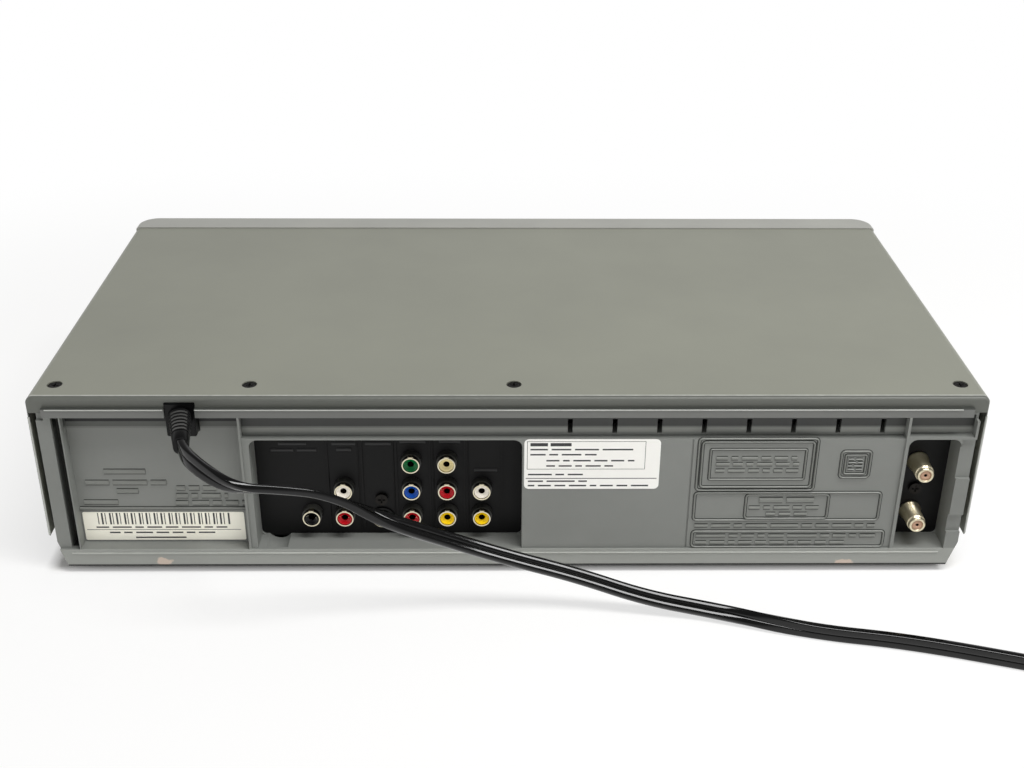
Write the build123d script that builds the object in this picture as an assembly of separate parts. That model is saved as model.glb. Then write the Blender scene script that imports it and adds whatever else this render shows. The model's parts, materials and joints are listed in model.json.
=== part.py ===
"""A cassette and disc player in one case, with its rear panel, tape deck, disc loader and mains cord.

Millimetres. +X is the right-hand side seen from the front, -Y is the front, +Z is up.
The origin is under the middle of the case, on the floor.
"""

import math
import os

from build123d import *

# Case
overall_width = 435.0
overall_depth = 232.0
overall_height = 94.0
foot_height = 4.0
foot_radius = 9.0
foot_inset = 35.5
foot_setback = 32.0
foot_set_in = 28.0
moulding = 2.2
running_gap = 0.3
bearing_gap = 0.05

# Cover
cover_sheet = 0.8
cover_bend = 3.0
rear_bend = 1.4
cover_step = 0.5
cover_lip = 7.6
ledge_proud = 2.0
chassis_band = 15.7
chassis_draft = 5.0
cup_radius = 3.5
cup_depth = 1.8
cup_inset = 13.3
screw_inset = 10.1
inner_screw_xs = (118.8, -2.1)
screw_radius = 1.3

# Rear panel, with heights above the underside of the chassis
end_gap = 3.0
end_rib = 6.5
end_groove = 4.2
rib_step = 1.5
groove_depth = 9.0
panel_depth = 14.0
face_step = 1.0
band_step = 5.0
label_step = 7.0
rail_height = 9.2
band_height = 11.5
ledge_drop = 9.2
ledge_height = 4.6
ledge_thick = 1.7
label_inset = 11.2
label_wall = 4.0
jack_zone = (-6.0, 119.0)
aerial_inset = 10.3
aerial_window = 24.2
face_wall = 1.6
blank_inset = 4.9
blank_wall = 0.4
window_corner = 4.0
window_web = 1.2
sill_corner = 2.5
pad_zone = (28.0, 48.0)
stop_height = 9.4
vent_count = 8
vent_first = -27.8
vent_pitch = 20.5
vent_width = 2.3
vent_margin = 1.0
vent_height = 7.2
divider_x = -84.0
scoop_x = 110.2
scoop_radius = 6.4
scoop_depth = 2.6

# Jacks
insert_thick = 2.0
insert_lap = 1.8
insert_ribs = (85.6, 69.3, 53.2, 37.4, 21.2, 3.4)
jack_columns = (93.9, 78.1, 46.0, 29.3, 12.9)
jack_rows = (25.1, 39.8, 54.5)
jack_grid = ("x..", "xx.", "xxx", "xxx", "xx.")
front_jack_insets = (21.5, 37.5, 53.5)
front_jack_z = 17.5
sleeve_radius = 4.75
sleeve_length = 3.6
ring_radius = 4.15
ring_wall = 0.55
ring_step = 0.25
ring_length = 6.2
pin_bore = 1.6
jack_body = 12.0
jack_body_depth = 9.0
din_x = 60.6
din_z = 22.0
din_radius = 6.0
din_screw_z = 33.0
aerial_setin = 14.1
aerial_zs = (26.1, 53.4)
aerial_screw_setin = 13.5
aerial_screw_z = 38.9
aerial_radius = 4.75
aerial_length = 14.0
panel_screw_head = 3.0

# Mains cord: flat twin, run as a round tube as wide as the cord
cord_width = 7.2
relief_setin = 25.5
relief_width = 13.4
relief_height = 16.8
relief_drop = 2.5
boot_length = 26.0
boot_drop = 9.5
boot_lean = 12.5
boot_start = 5.2
boot_end = 4.3
boot_rings = 7
boot_groove = 1.4
boot_tip = 5.0
cord_route = (
    (133.0, 162.0, 80.8),
    (118.0, 168.5, 75.0),
    (99.0, 165.5, 68.5),
    (77.5, 158.5, 60.5),
    (54.0, 153.5, 48.5),
    (30.0, 150.0, 35.5),
    (2.0, 147.5, 24.2),
    (-30.0, 147.0, 13.8),
    (-61.0, 148.5, 6.3),
    (-90.0, 154.0, 3.8),
    (-129.6, 166.2, 3.8),
    (-172.5, 173.5, 3.8),
)
cord_lead_out = 9.0
cord_lead_in = 48.0
coil_centre = (-294.0, 164.0)
coil_start_angle = 69.0
coil_outer = 46.0
coil_pitch = 7.8
coil_turns = 2
coil_rise = 7.9
plug_rise = 10.9
plug_length = 30.0
plug_width = 20.0
plug_height = 14.0
blade_pitch = 12.7
blade_length = 16.0
blade_size = (1.5, 6.4)

# Front panel
panel_strip = 18.0
panel_wall = 2.5
panel_corner = 11.0
panel_joint = 0.4
button_proud = 1.2
button_gap = 0.25
button_travel = 0.8
button_size = (15.0, 7.0)
button_row = 36.0
deck_buttons = {
    "rewind_button": -42.0,
    "play_button": -22.0,
    "forward_button": -2.0,
    "stop_eject_button": 18.0,
    "record_button": 38.0,
    "channel_down_button": 64.0,
    "channel_up_button": 84.0,
}
loader_buttons = {
    "disc_play_button": 28.0,
    "disc_open_button": 50.0,
}
power_inset = 23.5
power_radius = 7.0
window_setout = 95.0
window_width = 112.0
window_heights = (24.0, 47.0)
board_thick = 1.6
control_setback = 8.0
control_inset = 8.5
control_post_inset = 11.5
control_zone = (10.0, 51.0)
control_post_zs = (14.0, 44.0)
switch_size = 6.0
switch_depth = 3.4

# Tape deck
mech_setback = 116.0
deck_inset = 111.5
deck_z = 22.0
deck_thick = 1.5
deck_half = 104.0
deck_front = -90.0
deck_rear = 84.0
deck_post_setout = 98.0
deck_post_ys = (-82.0, 78.0)
cassette_width = 188.0
slot_margin = 2.0
slot_zone = (53.0, 83.0)
door_thick = 2.0
door_pin = 1.2
holder_sheet = 1.2
holder_depth = 68.0
holder_front = -80.0
holder_zone = (56.0, 82.0)
holder_flange = 13.0
holder_travel = 30.0
holder_drop = 22.0
guide_pin_radius = 1.5
guide_pin_setout = 3.4
frame_setout = 7.6
frame_sheet = 1.5
frame_rear = 34.0
reel_spacing = 92.0
reel_y = -36.0
reel_radius = 17.0
spindle_radius = 2.0
drum_y = 56.0
drum_radius = 31.0
drum_tilt = 5.0
drum_split = 17.5
drum_height = 33.0
drum_shaft = 3.0
capstan_place = (56.0, 26.0)
capstan_radius = 1.5
flywheel_radius = 24.0
pinch_pivot = (80.0, 30.0)
pinch_arm_length = 20.0
pinch_rest = 247.5
pinch_swing = 39.0
pinch_radius = 6.5
tape_guide_start = (32.0, 8.0)
tape_guide_end = (44.0, 60.0)
tape_guide_slot = 4.2
tape_guide_block = 12.0
loading_place = (-84.0, 70.0)
loading_angle = -48.0
loading_module = 0.8
cam_teeth = 44
loading_teeth = 16
tooth_slack = 0.24

# Disc loader
loader_inset = 122.5
loader_z = 44.0
loader_front = -95.0
loader_rear = 80.0
loader_post_setout = 60.0
loader_post_ys = (-64.0, 70.0)
loader_wall = 2.5
tray_width = 130.0
tray_zone = (64.0, 70.0)
tray_front_y = -111.0
tray_rear = 72.0
tray_travel = 145.0
disc_recess = 60.6
recess_depth = 3.0
hub_y = -41.0
tray_slot_half = 24.0
bezel_size = (134.0, 19.0)
bezel_bottom = 60.2
rack_module = 1.0
rack_setin = 9.0
rack_depth = 4.0
pinion_teeth = 18
pinion_y = -80.0
wheel_module = 0.8
wheel_teeth = 34
motor_teeth = 16
motor_angle = 8.0
traverse_half = 46.0
traverse_z = 48.0
traverse_thick = 2.5
traverse_front = -62.0
traverse_hinge_y = 62.0
hinge_pin = 2.0
traverse_lift = 4.4
turntable_radius = 15.0
turntable_z = 60.0
turntable_shaft = 1.0
sled_front = -24.0
sled_length = 26.0
sled_travel = 36.0
sled_half = 21.0
rod_radius = 1.5
rod_setout = 17.0
rod_height = 6.5
clamper_radius = 13.0
clamper_hole = 10.8
bridge_z = 76.0

# Boards
main_board_z = 11.0
board_inset = 13.5
board_size = (204.0, 166.0)
board_front = -84.0
board_post_xs = (12.0, 198.0)
board_post_ys = (-76.0, 76.0)
post_radius = 4.0
tuner_width = 32.0
tuner_zone = (14.0, 66.0)
tuner_depth = 13.0
transformer_inset = 29.5
transformer_y = 40.0
transformer_size = (32.0, 44.0, 34.0)

# Places that follow from the sizes above
half_width = overall_width / 2
y_rear = overall_depth / 2
y_front = -overall_depth / 2
y_cover_rear = y_rear - ledge_proud
y_cover_front = y_front + panel_strip
z_base = foot_height
z_floor = z_base + moulding
z_cover = overall_height - cover_step
z_skirt = z_base + chassis_band
z_lip = z_cover - cover_lip
z_cup = z_cover - cup_depth - cover_sheet
y_screw = y_cover_rear - cup_inset
screw_xs = (half_width - screw_inset, *inner_screw_xs, screw_inset - half_width)
x_end = half_width - cover_sheet - end_gap
label_zone = (jack_zone[1] + label_wall, x_end - label_inset)
aerial_zone = (aerial_inset - half_width, aerial_inset - half_width + aerial_window)
face_zone = (aerial_zone[1] + face_wall, jack_zone[0])
blank_zone = (blank_inset - half_width, aerial_zone[1] + blank_wall)
aerial_x = aerial_zone[0] + aerial_setin
aerial_screw = (aerial_zone[0] + aerial_screw_setin, aerial_screw_z)
relief_x = label_zone[0] + relief_setin
y_sill = y_rear - panel_depth
y_face = y_rear - face_step
y_band = y_rear - band_step
y_label = y_rear - label_step
z_rail = z_base + rail_height
z_ledge = z_cover - ledge_drop
z_face = z_ledge - band_height
z_ledge_top = z_ledge + ledge_height
relief_top = z_cover - relief_drop
relief_zone = (relief_top - relief_height, relief_top)
boot_axis_z = z_cover - boot_drop
y_insert = y_sill - insert_thick
y_jack_board = y_insert - jack_body_depth
rear_jacks = [(c, r) for c, rows in enumerate(jack_grid) for r in (2, 1, 0) if rows[r] == "x"]
y_panel = y_front + button_proud
y_panel_in = y_panel + panel_wall
y_panel_rear = y_cover_front - panel_joint
y_control = y_panel_in + control_setback
y_mech = y_front + mech_setback
deck_x = deck_inset - half_width
loader_x = half_width - loader_inset
x_board = half_width - board_inset - board_size[0]
front_jack_xs = [inset - half_width for inset in front_jack_insets]
power_x = power_inset - half_width
button_xs = {name: deck_x + place for name, place in deck_buttons.items()}
window_zone = (loader_x - window_setout, loader_x - window_setout + window_width)
button_xs |= {name: window_zone[1] + place for name, place in loader_buttons.items()}
z_deck = deck_z + deck_thick
holder_half = cassette_width / 2 + 1
frame_half = holder_half + frame_setout
reel_xs = (deck_x - reel_spacing / 2, deck_x + reel_spacing / 2)
capstan_x = deck_x + capstan_place[0]
capstan_y = capstan_place[1]
pivot_x = deck_x + pinch_pivot[0]
pivot_y = pinch_pivot[1]
roller_x = pivot_x + pinch_arm_length * math.cos(math.radians(pinch_rest))
roller_y = pivot_y + pinch_arm_length * math.sin(math.radians(pinch_rest))
loading_x = deck_x + loading_place[0]
loading_y = loading_place[1]
loading_centres = loading_module * (cam_teeth + loading_teeth) / 2
cam_x = loading_x + loading_centres * math.cos(math.radians(loading_angle))
cam_y = loading_y + loading_centres * math.sin(math.radians(loading_angle))
pinion_radius = rack_module * pinion_teeth / 2
rack_line = loader_x - tray_width / 2 + rack_setin + rack_depth
pinion_x = rack_line + pinion_radius
motor_centres = wheel_module * (wheel_teeth + motor_teeth) / 2
motor_x = pinion_x + motor_centres * math.cos(math.radians(motor_angle))
motor_y = pinion_y + motor_centres * math.sin(math.radians(motor_angle))
z_main = main_board_z + board_thick
y_tuner = y_insert - tuner_depth
deck_posts = [(deck_x + side * deck_post_setout, y) for side in (-1, 1) for y in deck_post_ys]
loader_posts = [(loader_x + side * loader_post_setout, y) for side in (-1, 1) for y in loader_post_ys]
board_posts = [(x_board + x, y) for x in board_post_xs for y in board_post_ys]
x_control = half_width - control_inset
x_control_post = half_width - control_post_inset
control_posts = [(x, z) for x in (-x_control_post, x_control_post) for z in control_post_zs]


def block(x, y, z):
    """A box from a low and a high value along each axis."""
    size = [high - low for low, high in (x, y, z)]
    middle = [(high + low) / 2 for low, high in (x, y, z)]
    return Pos(*middle) * Box(*size)


def around(middle, width):
    return (middle - width / 2, middle + width / 2)


def post(x, y, z, radius):
    """An upright cylinder between two heights."""
    return Pos(x, y, (z[0] + z[1]) / 2) * Cylinder(radius, z[1] - z[0])


def rod_y(x, y, z, radius):
    """A cylinder along Y between two values of y."""
    return Pos(x, (y[0] + y[1]) / 2, z) * Rot(90, 0, 0) * Cylinder(radius, y[1] - y[0])


def rod_x(x, y, z, radius):
    """A cylinder along X between two values of x."""
    return Pos((x[0] + x[1]) / 2, y, z) * Rot(0, 90, 0) * Cylinder(radius, x[1] - x[0])


def group(solids):
    """Separate solids in one node."""
    return Compound(children=[solid for piece in solids for solid in piece.solids()])


def window(x, z, y, corner):
    """A prism along Y with rounded corners, to cut a window."""
    plan = RectangleRounded(x[1] - x[0], z[1] - z[0], corner)
    face = Plane(origin=((x[0] + x[1]) / 2, y[1], (z[0] + z[1]) / 2), x_dir=(1, 0, 0), z_dir=(0, -1, 0)) * plan
    return extrude(face, amount=y[1] - y[0], dir=(0, -1, 0))


def edges_at(solid, axis, **places):
    """The edges along an axis whose middle lies at the given coordinates."""
    found = solid.edges().filter_by(axis)
    for name, value in places.items():
        found = [e for e in found if abs(getattr(e.center(), name.upper()) - value) < 0.01]
    return found


def gear(teeth, module, thickness, bore):
    """A stub-tooth involute gear with its first tooth along +X and its underside at z = 0."""
    pitch = module * teeth / 2
    base = pitch * math.cos(math.radians(20))
    tip = pitch + 0.8 * module
    root = pitch - 1.1 * module

    def involute(radius):
        angle = math.acos(min(1.0, base / radius))
        return math.tan(angle) - angle

    def half(radius):
        at_pitch = (math.pi * module / 2 - tooth_slack) / 2 / pitch
        return at_pitch + involute(pitch) - involute(radius)

    low = max(base, root)
    flank = [low + (tip - low) * step / 3 for step in range(4)]
    outline = []
    for tooth in range(teeth):
        middle = 2 * math.pi * tooth / teeth
        side = [(r, -half(r)) for r in flank]
        if root < low:
            side.insert(0, (root, -half(low)))
        for radius, angle in side + [(r, -a) for r, a in reversed(side)]:
            outline.append((radius * math.cos(middle + angle), radius * math.sin(middle + angle)))
    body = extrude(make_face(Polyline(*outline, close=True)), amount=thickness)
    return body - Pos(0, 0, thickness / 2) * Cylinder(bore, 3 * thickness)


def biarc(start, along, end, leaving):
    """Two arcs that join two points, each with its direction."""
    chord = end - start
    both = along + leaving
    spread = 2 * (1 - along.dot(leaving))
    reach = chord.dot(both)
    length = (-reach + math.sqrt(reach**2 + spread * chord.dot(chord))) / spread
    middle = (start + along * length + end - leaving * length) * 0.5
    first = Edge.make_tangent_arc(start, along, middle)
    return [first, Edge.make_tangent_arc(middle, first.tangent_at(1), end)]


# Cover, chassis and feet


def top_cover():
    outer = block((-half_width, half_width), (y_cover_front, y_cover_rear), (z_skirt, z_cover))
    bends = edges_at(outer, Axis.Y, x=-half_width, z=z_cover)
    bends += edges_at(outer, Axis.Y, x=half_width, z=z_cover)
    outer = fillet(bends, cover_bend)
    outer = fillet(edges_at(outer, Axis.X, y=y_cover_rear, z=z_cover), rear_bend)
    inside = half_width - cover_sheet
    under = z_cover - cover_sheet
    y_lip_in = y_cover_rear - cover_sheet
    inner = block((-inside, inside), (y_cover_front - 1, y_lip_in), (z_skirt - 1, under))
    bends = edges_at(inner, Axis.Y, x=-inside, z=under)
    bends += edges_at(inner, Axis.Y, x=inside, z=under)
    inner = fillet(bends, cover_bend - cover_sheet)
    shell = outer - fillet(edges_at(inner, Axis.X, y=y_lip_in, z=under), rear_bend - cover_sheet)
    shell -= block((-inside, inside), (y_lip_in - 1, y_cover_rear + 1), (z_skirt - 1, z_lip))
    for x in screw_xs:
        shell += post(x, y_screw, (z_cup, z_cover - cover_sheet / 2), cup_radius + cover_sheet)
        shell -= post(x, y_screw, (z_cup + cover_sheet, z_cover + 1), cup_radius)
        shell -= post(x, y_screw, (z_cup - 1, z_cover), screw_radius + 0.3)
    notch = around(relief_x, relief_width + 2 * running_gap)
    shell -= block(notch, (y_lip_in - 1, y_cover_rear + 1), (z_lip - 1, relief_zone[1] + running_gap))
    return shell


def bottom_chassis():
    low = half_width - chassis_band / 2
    high = low + chassis_draft
    top = z_skirt + 14.0
    outline = Polyline(
        (-low, z_base),
        (low, z_base),
        (high, z_skirt - 0.5),
        (high, top),
        (high - moulding, top),
        (high - moulding, z_skirt),
        (low - moulding, z_floor),
        (-low + moulding, z_floor),
        (-high + moulding, z_skirt),
        (-high + moulding, top),
        (-high, top),
        (-high, z_skirt - 0.5),
        close=True,
    )
    start = y_panel_rear + running_gap
    length = y_sill - running_gap - start
    plan = Plane(origin=(0, start, 0), x_dir=(1, 0, 0), z_dir=(0, -1, 0))
    body = extrude(plan * make_face(outline), amount=length, dir=(0, 1, 0))
    for y in (-40.0, 0.0, 40.0):
        body += block((-low + moulding, low - moulding), around(y_mech + y, moulding), (z_floor, z_floor + 2.5))
    for x, y in deck_posts:
        body += post(x, y_mech + y, (z_floor, deck_z), post_radius)
    for x, y in loader_posts:
        body += post(x, y_mech + y, (z_floor, loader_z), post_radius)
    for x, y in board_posts:
        body += post(x, y_mech + y, (z_floor, main_board_z), post_radius)
    body += post(aerial_x, y_tuner + tuner_depth / 2, (z_floor, tuner_zone[0]), post_radius)
    slots = []
    for column in range(14):
        x = x_board + 30.0 + 11.0 * column
        for y in (-20.0, 20.0):
            slots.append(block(around(x, 3.0), around(y_mech + y, 28.0), (z_base - 1, z_floor + 1)))
    return body - slots


def feet():
    solids = []
    for x in (foot_inset - half_width, half_width - foot_inset):
        for y in (y_front + foot_setback, y_rear - foot_set_in):
            foot = post(x, y, (0.0, foot_height), foot_radius)
            solids.append(fillet(foot.edges().sort_by(Axis.Z)[:1], 1.0))
    return group(solids)


# Rear panel


def rear_panel():
    body = block((-x_end, x_end), (y_sill, y_rear), (z_base, z_ledge_top))
    past = y_rear + 1
    low = half_width - chassis_band / 2
    for side in (-1, 1):
        corner = Polyline(
            (side * low, z_base - 1),
            (side * low, z_base),
            (side * (low + chassis_draft), z_skirt),
            (side * (x_end + 1), z_skirt),
            (side * (x_end + 1), z_base - 1),
            close=True,
        )
        plan = Plane(origin=(0, past, 0), x_dir=(1, 0, 0), z_dir=(0, -1, 0))
        body -= extrude(plan * make_face(corner), amount=panel_depth + 2, dir=(0, -1, 0))
    # Steps of the outer face
    cuts = [
        block(label_zone, (y_label, past), (z_rail, z_ledge)),
        block((face_zone[0], jack_zone[1] + 3.0), (y_face, past), (z_rail, z_face)),
        block((face_zone[0], jack_zone[1] + 3.0), (y_band, past), (z_face, z_ledge)),
        block(blank_zone, (y_band, past), (z_face + 1.0, z_ledge)),
        block((-x_end - 1, x_end + 1), (y_sill - 1, y_rear - ledge_thick), (z_lip - 0.6, past)),
        block((-x_end - 1, -x_end + 3.4), (y_cover_rear - 1, past), (z_ledge - 2.0, past)),
        block((x_end - 3.4, x_end + 1), (y_cover_rear - 1, past), (z_ledge - 2.0, past)),
    ]
    x_rib = x_end - end_rib
    cuts.append(block((x_rib - end_groove, x_rib), (y_rear - groove_depth, past), (z_rail, z_ledge)))
    cuts.append(block((x_rib, x_end + 1), (y_rear - rib_step, past), (z_rail, z_ledge)))
    # The rib beside the aerial sockets has a pad and a stop, and ends under the vents
    z_pad = (z_base + pad_zone[0], z_base + pad_zone[1])
    for heights in ((z_rail + stop_height, z_pad[0]), (z_pad[1], z_face)):
        cuts.append(block((-x_end - 1, -x_rib), (y_rear - rib_step, past), heights))
    # Windows, vents and the scoop in the sill
    for zone, top in ((jack_zone, z_face - 0.6), (aerial_zone, z_face)):
        cuts.append(window(zone, (z_rail, top), (y_sill - 1, past), window_corner))
        cuts.append(window(zone, (z_rail, top - window_corner), (y_sill - 1, past), sill_corner))
        cuts.append(block(zone, (y_sill + window_web, past), (z_rail, z_rail + 2 * window_corner)))
    for count in range(vent_count):
        x = vent_first - vent_pitch * count
        heights = (z_face + vent_margin, z_face + vent_margin + vent_height)
        cuts.append(block(around(x, vent_width), (y_sill - 1, past), heights))
    scoop_z = z_rail + scoop_radius - scoop_depth
    cuts.append(rod_y(scoop_x, (y_sill - 1, y_rear - 2.0), scoop_z, scoop_radius))
    cuts.append(block(around(divider_x, 0.8), (y_face - 0.5, past), (z_rail, z_face)))
    # Hollows behind each step, so that the wall is even
    inside = y_sill - 1
    w = moulding
    cuts += [
        block((label_zone[0] + w, label_zone[1] - w), (inside, y_label - w), (z_rail + w, z_ledge - w)),
        block((face_zone[0] + w, face_zone[1] - w), (inside, y_face - w), (z_rail + w, z_face - w)),
        block((face_zone[0] + w, jack_zone[1] - w), (inside, y_band - w), (z_face + w, z_ledge - w)),
        block((-x_end + 9.0, x_end - 9.0), (inside, y_rear - w), (z_base + w, z_rail - scoop_depth - w)),
    ]
    body -= cuts
    # Flange under the cover, with a boss for each screw
    flange_rear = y_cover_rear - cover_sheet - 0.5
    body += block((-x_end + 2, x_end - 2), (y_sill, y_sill + w), (z_ledge - w, z_cup))
    body += block((-x_end + 2, x_end - 2), (y_screw - 7.0, flange_rear), (z_cup - 1.8, z_cup))
    for x in screw_xs:
        reach = min(abs(x), x_end - 7.0) * (1 if x > 0 else -1)
        body += post(reach, y_screw, (z_cup - 10.0, z_cup), 4.2)
        body -= post(x, y_screw, (z_cup - 11.0, z_cup + 1), screw_radius + 0.1)
    notch = around(relief_x, relief_width + 2 * running_gap)
    body -= block(notch, (inside - 20, past), (relief_zone[0] - running_gap, past))
    return body


def jack_inserts():
    """The two black inserts behind the windows, with holes for the jacks."""
    lap = insert_lap
    field = block(
        (jack_zone[0] - lap, jack_zone[1] + lap), (y_insert, y_sill), (z_rail - 1.0, z_face + lap)
    )
    for x in insert_ribs:
        field += block(around(x, 0.9), (y_insert, y_sill + 0.7), (z_rail + 3.4, z_face - 2.4))
    holes = []
    for column, row in rear_jacks:
        place = (jack_columns[column], jack_rows[row])
        holes.append(rod_y(place[0], (y_insert - 1, y_sill + 2), place[1], sleeve_radius + running_gap / 2))
    holes.append(rod_y(din_x, (y_insert - 1, y_sill + 2), din_z, din_radius + running_gap / 2))
    holes.append(rod_y(din_x, (y_insert - 1, y_sill + 2), din_screw_z, screw_radius + 0.1))
    field -= holes
    plate = block(
        (aerial_zone[0] - lap, aerial_zone[1] + lap), (y_insert, y_sill), (z_rail - 1.0, z_face + lap)
    )
    holes = [rod_y(aerial_x, (y_insert - 1, y_sill + 1), z, aerial_radius + running_gap) for z in aerial_zs]
    holes.append(rod_y(aerial_screw[0], (y_insert - 1, y_sill + 1), aerial_screw[1], screw_radius + 0.1))
    return group([field, plate - holes])


def phono_jack(x, z, y_body, y_behind, y_sleeve, y_tip):
    """Sleeve, ring and coloured core of one phono jack, which points from its body to its tip."""
    away = 1 if y_tip > y_body else -1

    def along(low, high):
        return tuple(sorted((low, high)))

    body = block(around(x, jack_body), along(y_body, y_behind), around(z, jack_body))
    sleeve = body + rod_y(x, along(y_body, y_sleeve), z, sleeve_radius)
    sleeve -= rod_y(x, along(y_body + away * 2, y_sleeve + away), z, ring_radius - ring_step)
    ring = rod_y(x, along(y_body + away * 2, y_sleeve), z, ring_radius - ring_step - bearing_gap)
    ring += rod_y(x, along(y_sleeve, y_tip), z, ring_radius)
    ring -= rod_y(x, along(y_body + away, y_tip + away), z, ring_radius - ring_wall)
    core = rod_y(x, along(y_body + away * 2, y_tip - away * 0.3), z, ring_radius - ring_wall - bearing_gap)
    core -= rod_y(x, along(y_tip - away * 9, y_tip + away), z, pin_bore)
    return sleeve, ring, core


def phono_jacks():
    """All phono jacks, rear then front, as three nodes."""
    jacks = []
    for column, row in rear_jacks:
        ends = (y_jack_board, y_insert, y_sill + sleeve_length, y_sill + ring_length)
        jacks.append(phono_jack(jack_columns[column], jack_rows[row], *ends))
    for x in front_jack_xs:
        ends = (y_control, y_panel_in, y_panel - running_gap, y_front)
        jacks.append(phono_jack(x, front_jack_z, *ends))
    return [group(kind) for kind in zip(*jacks)]


def din_socket():
    body = block(around(din_x, jack_body), (y_jack_board, y_insert), around(din_z, jack_body))
    body += rod_y(din_x, (y_jack_board, y_sill + 1.0), din_z, din_radius)
    groove = rod_y(din_x, (y_sill - 5.0, y_sill + 2), din_z, din_radius - 1.0)
    groove -= rod_y(din_x, (y_sill - 6.0, y_sill + 3), din_z, din_radius - 2.2)
    body -= groove
    for x, z in ((-1.7, 1.2), (1.7, 1.2), (-1.7, -1.4), (1.7, -1.4)):
        body -= rod_y(din_x + x, (y_sill - 4.0, y_sill + 2), din_z + z, 0.5)
    return body


def aerial_sockets():
    solids = []
    for z in aerial_zs:
        tip = y_sill + aerial_length
        barrel = rod_y(aerial_x, (y_sill, tip), z, aerial_radius)
        barrel += rod_y(aerial_x, (y_insert, y_sill + 0.6), z, aerial_radius - 0.6)
        barrel -= rod_y(aerial_x, (tip - 0.8, tip + 1), z, aerial_radius - 1.2)
        barrel -= rod_y(aerial_x, (tip - 8.0, tip + 1), z, 0.6)
        solids.append(barrel)
    return group(solids)


def screws():
    """Four cover screws and two panel screws."""
    solids = []
    for x in screw_xs:
        seat = z_cup + cover_sheet
        screw = post(x, y_screw, (seat, seat + 1.4), cup_radius - 0.4)
        screw += post(x, y_screw, (z_cup - 9.0, seat), screw_radius)
        for turn in (0, 90):
            screw -= Pos(x, y_screw, seat + 1.4) * Rot(0, 0, turn) * Box(3.4, 0.7, 1.4)
        solids.append(screw)
    for x, z in ((din_x, din_screw_z), aerial_screw):
        screw = rod_y(x, (y_sill, y_sill + 1.8), z, panel_screw_head)
        screw += rod_y(x, (y_insert - 4.0, y_sill), z, screw_radius)
        for turn in (0, 90):
            screw -= Pos(x, y_sill + 1.8, z) * Rot(0, turn, 0) * Box(3.4, 1.4, 0.7)
        solids.append(screw)
    return group(solids)


# Mains cord


def strain_relief():
    """A flange that drops into the notch of the rear panel, and a ringed boot."""
    y_flange = y_label - moulding - 2.0
    y_out = y_rear - 1.0
    body = block(around(relief_x, relief_width), (y_flange, y_out), relief_zone)
    throat = around(relief_x, relief_width + 6.0)
    body += block(throat, (y_sill - 2.5, y_sill - running_gap), (relief_zone[0], relief_zone[1] - 3.0))
    body += block(around(relief_x, relief_width), (y_sill - 2.5, y_flange), relief_zone)
    boot = boot_plane()
    body += loft([boot.offset(-3.0) * Circle(boot_start), boot.offset(boot_length) * Circle(boot_end)])
    for count in range(boot_rings):
        place = boot * Pos(0, 0, (boot_length - boot_tip) * (count + 1) / (boot_rings + 1))
        body -= place * Cylinder(boot_start + 1, boot_groove) - place * Cylinder(boot_end - 0.5, 3.0)
    return body - boot * Pos(0, 0, boot_length) * Cylinder(cord_width / 2 + bearing_gap, 8.0)


def boot_plane():
    """The foot of the boot, whose axis leans to one side."""
    lean = math.radians(boot_lean)
    along = (-math.sin(lean), math.cos(lean), 0)
    return Plane(origin=(relief_x, y_rear - 1.0, boot_axis_z), x_dir=(0, 0, 1), z_dir=along)


def coil_path():
    """Points and directions of the coil: in on the floor, up in a half turn, out on top, then up to the plug."""
    points = []
    quarters = 4 * coil_turns

    def place(angle, radius, z):
        a = math.radians(coil_start_angle + angle)
        return Vector(coil_centre[0] + radius * math.cos(a), coil_centre[1] + radius * math.sin(a), z)

    def at(quarter):
        z = cord_width / 2 + 0.2
        inner = coil_outer - coil_pitch * coil_turns
        if quarter <= quarters:
            return place(90 * quarter, coil_outer - coil_pitch * quarter / 4, z)
        if quarter <= quarters + 2:
            share = (quarter - quarters) / 2
            rise = coil_rise * share * share * (3 - 2 * share)
            return place(90 * quarter, inner - coil_pitch / 2 * share * (1 - share), z + rise)
        grown = quarter - quarters - 2
        share = max(0.0, (quarter - last + 3) / 3)
        rise = coil_rise + plug_rise * share * share * (3 - 2 * share)
        return place(90 * quarter, inner + coil_pitch * grown / 4, z + rise)

    last = 2 * quarters + 1
    for quarter in range(last + 1):
        along = at(min(quarter + 0.01, last)) - at(max(quarter - 0.01, 0))
        points.append((at(quarter), along.normalized()))
    return points


def coil_tube():
    """One unbroken tube, with its least gap to itself printed."""
    points = coil_path()
    edges = []
    for (start, along), (end, leaving) in zip(points, points[1:]):
        edges += biarc(start, along, end, leaving)
    end, leaving = points[-1]
    edges.append(Edge.make_line(end, end + leaving * cord_width))
    path = Wire(edges)
    tube = sweep(Plane(origin=path @ 0, z_dir=path % 0) * Circle(cord_width / 2), path=path)
    steps = 400
    spots = [path @ (step / steps) for step in range(steps + 1)]
    apart = int(steps * math.pi * cord_width / path.length) + 1
    pairs = ((i, j) for i in range(steps + 1) for j in range(i + apart, steps + 1))
    least = min((spots[i] - spots[j]).length for i, j in pairs) - cord_width
    area = math.pi * cord_width**2 / 4
    print(f"coil length {path.length:.1f}, least gap {least:.2f}, volume ratio {tube.volume / path.length / area:.4f}")
    return tube, end + leaving * cord_width, leaving


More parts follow.
